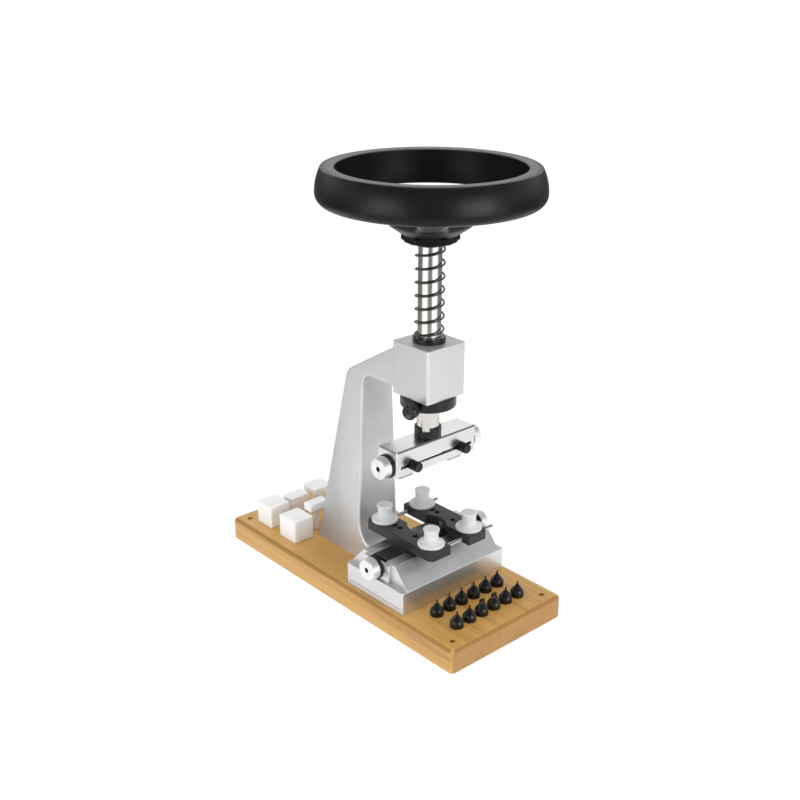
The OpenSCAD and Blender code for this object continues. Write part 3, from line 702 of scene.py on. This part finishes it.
# %% [markdown]
# ## The frame casting
#
# Seen from the side the casting is a leaning column with an arm, and seen from the front it
# narrows upwards. So the side outline becomes a plate as thick as the arm, and each point is then
# moved out to the half width of the casting at its height. The long edges are well rounded,
# and the foot stays sharp where it meets the board.

# %% Column and head
FOOT_HALF, ARM_HALF = 22.0, 15.5
HEAD_LOW, HEAD_HIGH, HEAD_SIDE = 179.0, 221.0, 38.5


def half_width(z):
    """Half of the casting's width: it falls evenly from the foot to near the head's underside."""
    share = np.clip((z - board_top) / (low["head_bush"][2] + 8.6 - board_top), 0, 1)
    return FOOT_HALF + (ARM_HALF - FOOT_HALF) * share


head_rear = axis_y + 18
side = eased([(-14.2, board_top, 0), (64, board_top, 0), (32, 180, 14), (head_rear, 216.5, 0),
              (head_rear, 181, 0), (11, 181, 9), (11, 33, 23), (-14.2, 31, 0)], 16, closed=True)
rounding = 2.2 * np.clip((side[:, 1] - board_top) / 3, 0, 1)
points, faces = plate(side, -ARM_HALF, ARM_HALF, rounding, rounding)
spread = points[:, 2] + np.sign(points[:, 2]) * (half_width(points[:, 1]) - ARM_HALF)
column = np.stack([spread, points[:, 0], points[:, 1]], 1), faces
head_outline = rectangle(0, axis_y, HEAD_SIDE, HEAD_SIDE, 1.6)
head = plate(head_outline, HEAD_LOW, HEAD_HIGH, 0.5, 0.7, [(0, axis_y, 10.6, 0.4, None)], 96)
piece("frame_casting", [column, head])
print("column from", f"{half_width(board_top):.1f} to {half_width(HEAD_HIGH):.1f} mm half width")

# %% [markdown]
# ## Bush, lock ring and lock screw
#
# The bush guides the spindle through the head and ends in a dark flange on top. The ring under
# the head carries a knurled thumb screw. A straight knurl is a wave round the head: the radius
# goes in and out once for each tooth, and only between the head's two chamfers.

# %% Knurled heads
def knurl(teeth, depth, start, end):
    """A radius with teeth round it between two heights: depth times a sharpened cosine."""
    def shape(angle, height, radius):
        wave = np.abs(np.cos(angle * teeth / 2)) ** 0.6
        inside = (height > start) & (height < end)
        return radius - depth * (1 - wave) * inside
    return shape


def knurled_head(radius, start, end, teeth, **more):
    """A knob with chamfered ends, a knurled rim and a shallow dish in its outer face."""
    c, dish = radius * 0.12, end - 0.25
    outline = [(0, start), (radius - c, start), (radius, start + c), (radius, start + c + 0.02),
               (radius, end - c - 0.02), (radius, end - c), (radius - c, end),
               (radius * 0.62, end), (radius * 0.55, dish), (0, dish)]
    shape = knurl(teeth, radius * 0.07, start + c + 0.01, end - c - 0.01)
    return turned(outline, around=teeth * 6, shape=shape, **more)


def ring_piece(node, corners, steps=4, around=96):
    """A ring round the working axis, from the corners (radius, height, easing) of its section."""
    outline = eased(corners, steps, closed=True)
    piece(node, [turned(outline, AXIS, around=around, ring=True)])


flange_r, bush_r, bore_r = 12.5, 10.6, 8.85
bush_low, bush_high = low["head_bush"][2], high["head_bush"][2]
ring_piece("head_bush", [
    (bore_r, bush_low, 0.2), (bush_r, bush_low, 0.2), (bush_r, HEAD_HIGH, 0),
    (flange_r, HEAD_HIGH, 0.2), (flange_r, bush_high, 0.8), (bore_r, bush_high, 0.4)])
ring_low, ring_r = low["lock_ring"][2], 21.5
ring_piece("lock_ring", [
    (bush_r, ring_low, 0.2), (ring_r, ring_low, 1.0), (ring_r, HEAD_LOW, 0.6),
    (bush_r, HEAD_LOW, 0.2)], around=128)
print("bush and lock ring")

# %% Lock screw
LOCK_TURN = np.radians(201.6)
lock_shells = [stood([(2, 9.1, 0.3), (2, ring_r + 1, 0.1)]),
               stood([(3.2, ring_r + 1, 0.3), (3.2, ring_r + 4.6, 0)]),
               knurled_head(5.7, ring_r + 4.4, ring_r + 12.4, 36)]
points, faces = joined(lock_shells)
out = np.array([np.cos(LOCK_TURN), np.sin(LOCK_TURN), 0])
side_way = np.array([-out[1], out[0], 0])
lock_centre = np.array([0, axis_y, (ring_low + HEAD_LOW) / 2])
points = lock_centre + points[:, [2, 0, 1]] @ np.array([out, side_way, [0, 0, 1]])
piece("lock_screw", [(points, faces)])
print("lock screw points along", np.round(out, 2))

# %% [markdown]
# ## Spindle and spring
#
# The spindle is a ground bar. The spring is a wire carried round a helix: the end coils lie
# flat and closed, and the rise between them is even. It is made at rest; only the share of its
# height that it would keep at full stroke is worked out and printed.

# %% Spindle
spindle_low, spindle_high = low["spindle"][2], high["spindle"][2]
nut_low, nut_high = low["hub_nut"][2], high["hub_nut"][2]
piece("spindle", [stood([(8.8, spindle_low, 0.5), (8.8, nut_high, 0.1), (7, nut_high, 0),
                         (7, spindle_high, 0.4)], centre=AXIS, around=128)])
print(f"spindle from {spindle_low:.1f} to {spindle_high:.1f} mm")

# %% Return spring
TURNS, WIRE_R, COIL_R = 7.7, 0.7, 10.6


def rise(t, span):
    """Height of the wire's centre after t turns: closed ends and an even pitch between them."""
    ends, lift = 0.5, 2 * WIRE_R * 1.02
    slope = (span - 2 * lift * ends) / (TURNS - 2 * ends)
    return np.select([t < ends, t > TURNS - ends], [lift * t, span - lift * (TURNS - t)],
                     lift * ends + slope * (t - ends))


def end_caps(count, sides):
    """The two end faces of a tube with count points in all."""
    return [list(range(sides)), [count - 1 - i for i in range(sides)]]


def coil(bottom, top, per_turn=64, sides=12):
    """A round wire on a helix: each ring of the tube stands across the wire's own direction,
    with one radius pointing out from the axis and the other square to it and to the wire."""
    t = np.linspace(0, TURNS, int(TURNS * per_turn) + 1)
    a = 2 * np.pi * t
    line = np.stack([COIL_R * np.cos(a), axis_y + COIL_R * np.sin(a),
                     bottom + WIRE_R + rise(t, top - bottom - 2 * WIRE_R)], 1)
    along = np.gradient(line, axis=0)
    along /= np.linalg.norm(along, axis=1)[:, None]
    outwards = np.stack([np.cos(a), np.sin(a), 0 * a], 1)
    upwards = np.cross(along, outwards)
    b = np.linspace(0, 2 * np.pi, sides, endpoint=False)[None, :, None]
    tube = line[:, None] + WIRE_R * (np.cos(b) * outwards[:, None] + np.sin(b) * upwards[:, None])
    return tube.reshape(-1, 3), grid_faces(len(t), sides).tolist() + end_caps(tube.size // 3, sides)


spring_low, spring_high = low["return_spring"][2], high["return_spring"][2]
spring = piece("return_spring", [coil(spring_low, spring_high)])
stroke = [j for j in frame["joints"] if j["name"] == "press_stroke"][0]["range_m"][1] / MM
kept = 1 - stroke / (low["spring_cap"][2] - bush_high)
bush_high * MM
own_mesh(spring)
cap_low, cap_high = low["spring_cap"][2], high["spring_cap"][2]
CAP_R = 11.6
ring_piece("spring_cap", [
    (bore_r, cap_low, 0.1), (CAP_R, cap_low, 0.3), (CAP_R, cap_high, 0.3), (bore_r, cap_high, 0.1)], 3)
print(f"spring of {TURNS} turns keeps {kept:.2f} of its height at full stroke")

# %% [markdown]
# ## The handwheel
#
# The rim is one turned outline: a flat top, a full outer curve and a straight inner wall. The
# hub and the three sloping spokes are joined by a remesh, which turns their hard meeting lines
# into the soft fillets of a moulding, and is then smoothed.

# %% Rim
rim_low, rim_high = 325.0, high["handwheel"][2]
wheel_r, rim_inner = high["handwheel"][0], 68.5
bulge_z, FLANK_R, UNDER_R = rim_low + 8, 38, 8.5
flank = arc((wheel_r - FLANK_R, bulge_z), FLANK_R, 3, 23, 14)
top_edge = eased([(*flank[-1], 0), (78.6, rim_high, 1.5), (rim_inner, rim_high, 1.1),
                  (rim_inner, rim_low, 1.2), (74.5, rim_low - 0.5, 0)], 6)
under = arc((wheel_r - UNDER_R, bulge_z), UNDER_R, -75, 0, 14)
rim = np.concatenate([under, flank[:-1], top_edge])
rim_shell = turned(rim, AXIS, around=192, ring=True)
print("rim outline of", len(rim), "points")

# %% Hub and spokes
STATIONS, SIDES = 40, 32


def spoke(turn):
    """A sloping arm: at each distance from the hub it has a half width, an underside and a top,
    all straight lines between a few stations, and its section is a rounded rectangle."""
    reach = np.linspace(14, 70.8, STATIONS)
    wide = np.interp(reach, [14, 20, 33, 48, 60, 71], [16, 15, 11.5, 10.5, 13, 19])
    under = np.interp(reach, [14, 20, 31, 50, 66, 71], [304, 306, 309.5, 315.5, 323.5, 327])
    over = np.interp(reach, [14, 20, 28, 48, 64, 71], [321.5, 321.5, 321.5, 325.5, 331.5, 334])
    b = np.linspace(0, 2 * np.pi, SIDES, endpoint=False)[None, :]
    box = [np.sign(f(b)) * np.abs(f(b)) ** 0.5 for f in (np.cos, np.sin)]
    across = wide[:, None] * box[0]
    up = ((over + under) / 2)[:, None] + ((over - under) / 2)[:, None] * box[1]
    out = np.repeat(reach[:, None], SIDES, 1)
    x = out * np.cos(turn) - across * np.sin(turn)
    y = out * np.sin(turn) + across * np.cos(turn) + axis_y
    points = np.stack([x, y, up], -1).reshape(-1, 3)
    return points, grid_faces(STATIONS, SIDES).tolist() + end_caps(len(points), SIDES)


SPOKE_TURN = np.radians(228)
hub_top = low["wheel_washer"][2]
hub = stood([(20, nut_high, 0.4), (31, 309.5, 4), (32.5, 312, 2), (32.5, 318, 2), (30, 321.5, 2),
             (14, hub_top, 1)], centre=AXIS, around=128)
spokes = [spoke(SPOKE_TURN + 2 * np.pi * k / 3) for k in range(3)]
spider = built("spider", [hub, *spokes])
remesh = spider.modifiers.new("remesh", "REMESH")
remesh.mode, remesh.voxel_size = "VOXEL", 1.0 * MM
smooth = spider.modifiers.new("smooth", "SMOOTH")
smooth.factor, smooth.iterations = 0.5, 7
spider_shell = as_surface(spider)
piece("handwheel", [rim_shell, spider_shell], sharp=50)
print("hub and spokes:", len(spider_shell[1]), "faces after the remesh")

# %% [markdown]
# ## Nut, washer and screw of the wheel
#
# A nut is a hexagon cut back by a chamfer at its corners. At each height the radius is the
# smaller of the hexagon's and of a cone's, which draws the curved chamfer lines by itself.

# %% Nut and washer
def hexagon(flat, turn):
    """The radius of a hexagon with the given distance from its middle to a flat."""
    def shape(angle, height, radius):
        off = np.mod(angle - turn + np.pi / 6, np.pi / 3) - np.pi / 6
        return np.minimum(radius, flat / np.cos(off))
    return shape


nut_r = 21.4
nut = [(0, nut_low), (19.2, nut_low), (nut_r, nut_low + 1.2), (nut_r, nut_high - 0.6),
       (20.4, nut_high), (0, nut_high)]
nut_flat = nut_r * np.cos(np.pi / 6)
nut_shell = turned(nut, AXIS, around=240, shape=hexagon(nut_flat, SPOKE_TURN + np.pi / 3))
piece("hub_nut", [nut_shell], sharp=20)
washer_top = high["wheel_washer"][2]
ring_piece("wheel_washer", [
    (3.2, hub_top, 0), (11, hub_top, 0.2), (11, washer_top, 0.5), (3.2, washer_top, 0.2)])
broken_edges("wheel_screw", 0.25)
print("nut, washer and screw")

# %% [markdown]
# ## The crosshead
#
# A milled beam with a bush and a knob at each end. The jaws sit in its channel and show below
# it, and their black thumb screws run in the long slot in front.

# %% Beam, collar and jaws
beam_low, beam_high = low["chuck_body"], high["chuck_body"]
beam_size = beam_high - beam_low
beam_outline = rectangle(0, axis_y, beam_size[0], beam_size[1], 1.2)
beam = plate(beam_outline, beam_low[2], beam_high[2], 0.4, 1.1, steps=1)
past_end = beam_size[0] / 2 + 1


def beam_pocket(half_long, y0, y1, z0, z1):
    """A box to cut, from y0 to y1 beside the working axis and from z0 to z1 beside the screw."""
    return box_between((-half_long, axis_y + y0, screw_z + z0), (half_long, axis_y + y1, screw_z + z1))


channel_pocket = beam_pocket(past_end, -7.6, 7.6, -5.05, 5.05)
jaw_slot = beam_pocket(36.5, -4.15, 4.15, beam_low[2] - 1 - screw_z, -5)
thumb_slot = beam_pocket(37, -12, -7.5, -1.2, 1.2)
bolt_bore = stood([(3.1, screw_z, 0), (3.1, beam_high[2] + 1, 0)], centre=AXIS)
pockets = [channel_pocket, jaw_slot, thumb_slot, bolt_bore]
piece("chuck_body", [cut(beam, pockets)], sharp=30)
broken_edges("coupling_collar", 0.35)
for node in ["jaw_left", "jaw_right"]:
    broken_edges(node, 0.35)
print("crosshead beam, collar and jaws")

# %% Bushes, knobs and thumb screws
def both_sides(left_node, right_node, make):
    """The same piece at the left and at the right end, made from distances from the middle."""
    piece(left_node, make("-x"))
    piece(right_node, make("x"))


chuck_line = (0, axis_y, screw_z)
vise_line = (0, axis_y, float(low["vise_screw"][2] + high["vise_screw"][2]) / 2)


def end_ring(line, start, end, bore, plug=0.0):
    """A dark flange round a lead screw, with a plug behind it where it is a bush."""
    corners = [(bore, start - plug, 0), (bore, end, 0.2), (9.4, end, 0.4), (9.4, start, 0.2)]
    if plug:
        corners += [(4.9, start, 0), (4.9, start - plug, 0.2)]
    outline = eased(corners, 3, closed=True)
    return lambda axis: [turned(outline, line, axis, ring=True)]


def knob(line, start, radius, bore):
    """A round knob: a small step at its inner side, a chamfered rim and a dished outer face."""
    end = start + 8
    corners = [(bore, start, 0), (radius - 0.9, start, 0.2), (radius - 0.5, start + 0.7, 0.2),
               (radius, start + 0.9, 0.2), (radius, end - 0.8, 0.3), (radius - 0.8, end, 0.3),
               (bore + 1.2, end, 0.3), (bore + 0.6, end - 0.35, 0.2), (2.1, end - 0.35, 0.1),
               (2.1, end - 0.6, 0), (bore, end - 0.6, 0)]
    outline = eased(corners, 3, closed=True)
    return lambda axis: [turned(outline, line, axis, ring=True, around=128)]


chuck_ring_x = high["chuck_body"][0]
both_sides("chuck_bush_left", "chuck_bush_right",
           end_ring(chuck_line, chuck_ring_x, chuck_ring_x + 1.5, 2.55, 4))
both_sides("chuck_knob_left", "chuck_knob_right",
           knob(chuck_line, low["chuck_knob_right"][0], 8.5, 2.5))
both_sides("vise_ring_left", "vise_ring_right",
           end_ring(vise_line, low["vise_ring_right"][0], high["vise_ring_right"][0], 3.05))
both_sides("vise_knob_left", "vise_knob_right", knob(vise_line, low["vise_knob_right"][0], 8.8, 3.0))
jaw_x = float(low["thumb_screw_right"][0] + high["thumb_screw_right"][0]) / 2
for node, x in [("thumb_screw_left", -jaw_x), ("thumb_screw_right", jaw_x)]:
    at = (x, axis_y, screw_z)
    piece(node, [stood([(1.15, 3.1, 0.2), (1.15, 12.2, 0)], centre=at, axis="-y", around=32),
                 knurled_head(3.9, 10.8, 18.5, 28, centre=at, axis="-y")])
print("rings, knobs and thumb screws")

# %% [markdown]
# ## The vise
#
# The body is a block with two sloped rails, milled from one piece. Its lower part is a plate
# with a scribed groove in each end, and the rails are the side outline carried along the vise,
# with the channel and its grooves.

# %% Vise body
block_top, rail_top, channel, grooves = 39.4, high["vise_body"][2], 8.0, (43.8, 47.2)
vise_half_x, vise_half_y = high["vise_body"][0], float(high["vise_body"][1] - low["vise_body"][1]) / 2
block_outline = rectangle(0, axis_y, 2 * vise_half_x, 2 * vise_half_y, 1.2)
block = plate(block_outline, board_top, block_top, 0.2, 0.8)
GROOVE_DEEP, GROOVE_HALF = 0.6, 29
end_grooves = [box_between((x - GROOVE_DEEP, axis_y - GROOVE_HALF, 24.7),
                           (x + GROOVE_DEEP, axis_y + GROOVE_HALF, 25.4))
               for x in (-vise_half_x, vise_half_x)]
block = cut(block, end_grooves)
foot = vise_half_y - 0.5
right_rail = [(foot, block_top - 1, 0.4), (foot, block_top, 0.4), (18.1, rail_top, 0.8),
              (channel, rail_top, 0.5), (channel, grooves[1], 0.4), (channel + 1.5, grooves[1], 0.1),
              (channel + 1.5, grooves[0], 0.1), (channel, grooves[0], 0.4), (channel, 41.5, 0.1)]
left_rail = [(-y, z, r) for y, z, r in reversed(right_rail)]
rail_outline = eased(right_rail + left_rail, 3, closed=True)
points, faces = plate(rail_outline, -50, 50, 0.35, 0.35)
rails = np.stack([points[:, 2], points[:, 0] + axis_y, points[:, 1]], 1), faces
piece("vise_body", [block, rails])
for node in ["vise_plate_left", "vise_plate_right"]:
    broken_edges(node, 0.4)
print("vise body, rails and end plates")

# %% [markdown]
# ## Bars and slides
#
# Each bar is a black plate with a round notch for the watch, post holes in a row and eased
# edges. Its outline is a chamfered rectangle whose inner side is cut by a circle round the
# working axis.

# %% Bars
bar_low, bar_high = low["bar_right"][2], high["bar_right"][2]
bar_x0, bar_x1 = low["bar_right"][0], high["bar_right"][0]
bar_half, notch_r = float(high["bar_right"][1] - low["bar_right"][1]) / 2, 15.5
notch_y = float(np.sqrt(notch_r**2 - bar_x0**2))
notch_turn = np.degrees(np.arctan2(notch_y, bar_x0))
bar_ends = eased([(bar_x0, -notch_y - 2, 0), (bar_x0, -bar_half, 0.8), (bar_x1 - 3, -bar_half, 0.6),
                  (bar_x1, -bar_half + 3, 0.6), (bar_x1, bar_half - 3, 0.6), (bar_x1 - 3, bar_half, 0.6),
                  (bar_x0, bar_half, 0.8), (bar_x0, notch_y + 2, 0)], 4)
notch = arc((0, 0), notch_r, notch_turn - 1.2, 1.2 - notch_turn, 28)
bar_outline = np.concatenate([bar_ends, notch])
post_x, post_y = (bar_x0 + bar_x1) / 2, 27.0
hole_ys = [-post_y, -14.7, -9.0, 9.0, 14.7, post_y]
for node, mirror in [("bar_right", 1), ("bar_left", -1)]:
    holes = [(post_x, y, 2.05, 0.35, None) for y in hole_ys]
    points, faces = plate(bar_outline, bar_low, bar_high, 0.5, 0.5, holes, 40)
    piece(node, [(points * (mirror, 1, 1) + AXIS, faces)])
for node in ["slide_left", "slide_right"]:
    broken_edges(node, 0.3)
print("bars with", len(hole_ys), "holes each, and their slides")

# %% Guide rods and lead screws
for node in ["guide_rod_front", "guide_rod_rear"]:
    rod_y, rod_z = ((low[node] + high[node]) / 2)[1:]
    outline = [(1.5, low[node][0], 0.3), (1.5, high[node][0], 0.5)]
    piece(node, [stood(outline, centre=(0, rod_y, rod_z), axis="x", around=40)])
for node in ["chuck_screw", "vise_screw"]:
    broken_edges(node, 0.15)
print("guide rods and lead screws")

# %% [markdown]
# ## Posts
#
# A post is turned from nylon: a broad thin flange that the watch's edge slides under, a cone,
# a waisted neck and a flat top.

# %% Posts
top = high["post_front_left"][2]
corners = [(2, bar_low + 0.6, 0.3), (2, bar_high + 0.1, 0), (10.6, bar_high + 0.1, 0.4),
           (10.6, bar_high + 2.2, 0.9), (7.4, bar_high + 3.4, 1.2), (5.7, bar_high + 5, 1.8),
           (5.5, bar_high + 9.5, 6), (6.6, top, 0.7)]
for side_name, x in [("left", -post_x), ("right", post_x)]:
    for end_name, y in [("front", axis_y - post_y), ("rear", axis_y + post_y)]:
        piece(f"post_{end_name}_{side_name}", [stood(corners, centre=(x, y, 0))])
print("four posts up to", round(float(top), 1), "mm")

# %% [markdown]
# ## Bits and blocks
#
# The spare bits stand in two rows: a round collar, a shoulder and a hollow cone that ends in a
# small pin, or in a broad blade for the middle pair of the front row. The white blocks behind
# the column are two cubes and three tees.

# %% Bits
BLADE_HALF = 0.7


def bit(x, y, broad):
    """A turned bit. The blade is the same outline, pressed flat across y near its tip."""
    tip = 2.3 if broad else 0.62
    corners = [(1.9, -6.5, 0.4), (1.9, 0.05, 0), (5.3, 0.05, 0.3), (5.3, 4.2, 1.6), (4.4, 5.8, 2),
               (2.9 if broad else 1.7, 9.4, 2.5), (tip, 10.8, 0.5), (tip, 12.8, 0.15)]

    def pressed(angle, height, radius):
        share = np.clip((height - 7.5) / 3, 0, 1) * broad
        flat = BLADE_HALF / np.maximum(np.abs(np.sin(angle)), 1e-6)
        return radius + (np.minimum(flat, radius) - radius) * share

    return stood(corners, centre=(x, y, board_top), around=64, shape=pressed)


for pair in range(6):
    shells = [bit(x, y, pair == 4) for x, y in bit_places[2 * pair:2 * pair + 2]]
    piece(f"bit_pair_{pair + 1}", shells, sharp=32)
print("twelve bits")

# %% Cubes and tees
def block_at(node, z0, under=0.7):
    """An eased block in the box of its part, standing on z0."""
    middle, size = (low[node] + high[node]) / 2, high[node] - low[node]
    outline = rectangle(middle[0], middle[1], size[0], size[1], 1.0)
    return plate(outline, z0, high[node][2], under, 0.9)


for node in ["cube_front_left", "cube_rear_left"]:
    piece(node, [block_at(node, board_top)])
for node, head_height, stem in [("tee_block_front", 8.5, 0), ("tee_block_rear", 7, 12),
                                ("tee_block_right", 6.5, 9)]:
    x, y = (low[node] + high[node])[:2] / 2
    head_low_z = high[node][2] - head_height
    shells = [block_at(node, head_low_z, 1.0 if stem else 2.6)]
    if stem:
        outline = rectangle(x, y, stem, 0.75 * stem, 0.8)
        shells.append(plate(outline, board_top, head_low_z + 1, 0.5, 0))
    if low[node][2] < board_top:
        peg = [(2.2, board_top - 8, 0.4), (2.2, head_low_z + 1, 0)]
        shells.append(stood(peg, centre=(x, y, 0), around=48))
    piece(node, shells)
print("two cubes and three tees")

# %% [markdown]
# ## What stays as drawn
#
# Screws and pins that are mostly hidden keep the frame's own meshes. They only get a finish.

# %% Finishes for the remaining parts
stood_for = {n for o in bpy.data.objects if "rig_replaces" in o for n in o["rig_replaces"]}
plain = sorted(set(frame["nodes"]) - stood_for)
for node in plain:
    shown = frame["nodes"][node]
    shown.data.materials.clear()
    shown.data.materials.append(finishes[slot_of[node]].material)
print("kept as drawn:", ", ".join(plain))

# %% [markdown]
# ## The studio
#
# The press stands on a white table in a light tent. Two soft boxes stand to its left and its
# right front, level with it, and a large one hangs over it. The tent is shaped for the metals,
# which show it: it is bright low down and dark overhead, dimmer on the camera's side than on the
# far side, and it has a dark strip just above the far horizon. More than half a metre away the
# table is dark in them too, but for bright sectors below the boxes. The camera itself sees a
# plain white table and a plain white tent.

# %% Bright and dark sides of the room
CAMERA_SIDE = np.array([-np.sin(CAMERA_TURN), -np.cos(CAMERA_TURN)])


def box_sectors(x, y):
    """1 in the two sectors where the soft boxes stand, and 0 straight behind the camera and in
    the far half of the room. The cosine of the angle from the camera's side tells them apart."""
    reach = (x * x + y * y + 1e-6) ** 0.5
    cosine = (x * CAMERA_SIDE[0] + y * CAMERA_SIDE[1]) / reach
    return cosine.between(0.10, 0.38) * cosine.between(0.88, 0.98, 1, 0)


def unseen(signal):
    """1 for light that does not come straight to the camera."""
    return 1 - signal.node("ShaderNodeLightPath")


print("camera side:", np.round(CAMERA_SIDE, 2))

# %% Table
table = new_object("table", bpy.data.meshes.new("table"))
corners = [(20 * a, 20 * b, -0.0002) for a, b in [(-1, -1), (1, -1), (1, 1), (-1, 1)]]
table.data.from_pydata(corners, [], [(0, 1, 2, 3)])
white = Finish("white_table", Base_Color=(0.15, 0.15, 0.15), Roughness=0.9)
across, deep = white.x, white.y - axis_y * MM
outside = ((across * across + deep * deep) ** 0.5).between(0.48, 0.74)
glow = white.blend(box_sectors(across, deep), (0.10, 0.10, 0.10), (1.6, 1.6, 1.6))
glow = white.blend(outside * unseen(across), (1, 1, 1), glow)
white.set(Emission_Strength=0.92, Emission_Color=glow)
table.data.materials.append(white.material)
print("table")

# %% Light tent
world = bpy.data.worlds.new("light tent")
bpy.context.scene.world = world
world.use_nodes = True
sky = world.node_tree
direction = Signal(sky, sky.nodes.new("ShaderNodeTexCoord").outputs["Generated"])
east, north, upward = (direction.node("ShaderNodeSeparateXYZ", None, {0: direction}, i)
                       for i in range(3))
tent = upward.between(0.37, 0.62, 1.0, 0.14)
facing = east * CAMERA_SIDE[0] + north * CAMERA_SIDE[1]
tent = tent * (1 - facing.between(0.10, 0.55) * 0.55) * facing.between(-0.7, -0.2, 1.45, 1.0)
low_and_far = upward.between(0.08, 0.26, 1, 0) * facing.between(-0.75, -0.45, 1, 0)
tent = tent * (1 - low_and_far * 0.88)
light = tent + (1 - tent) * (1 - unseen(east))
sky.links.new(light.socket, sky.nodes["Background"].inputs["Color"])
print("light tent")

# %% Soft boxes
def soft_box(name, place, aim, size, radiance):
    """A rectangular light at place, in metres, facing aim. Its power is pi x area x radiance."""
    light = bpy.data.lights.new(name, "AREA")
    light.shape = "RECTANGLE"
    light.size, light.size_y = size
    light.energy = np.pi * size[0] * size[1] * radiance
    lamp = bpy.data.objects.new(name, light)
    bpy.context.scene.collection.objects.link(lamp)
    lamp.location = place
    lamp.rotation_euler = (Vector(aim) - Vector(place)).to_track_quat("-Z", "Y").to_euler()
    lamp.visible_camera = False
    return lamp


press_middle = (0, axis_y * MM, 0.2)
soft_box("left box", (-1.7, -0.10, 0.40), press_middle, (0.95, 0.7), 4.3)
soft_box("right box", (0.03, -1.75, 0.40), press_middle, (0.95, 0.7), 6.4)
soft_box("top box", (-0.1, -0.2, 1.9), press_middle, (1.7, 1.7), 2.8)
bpy.context.scene.view_settings.view_transform = "Standard"
print("three soft boxes")
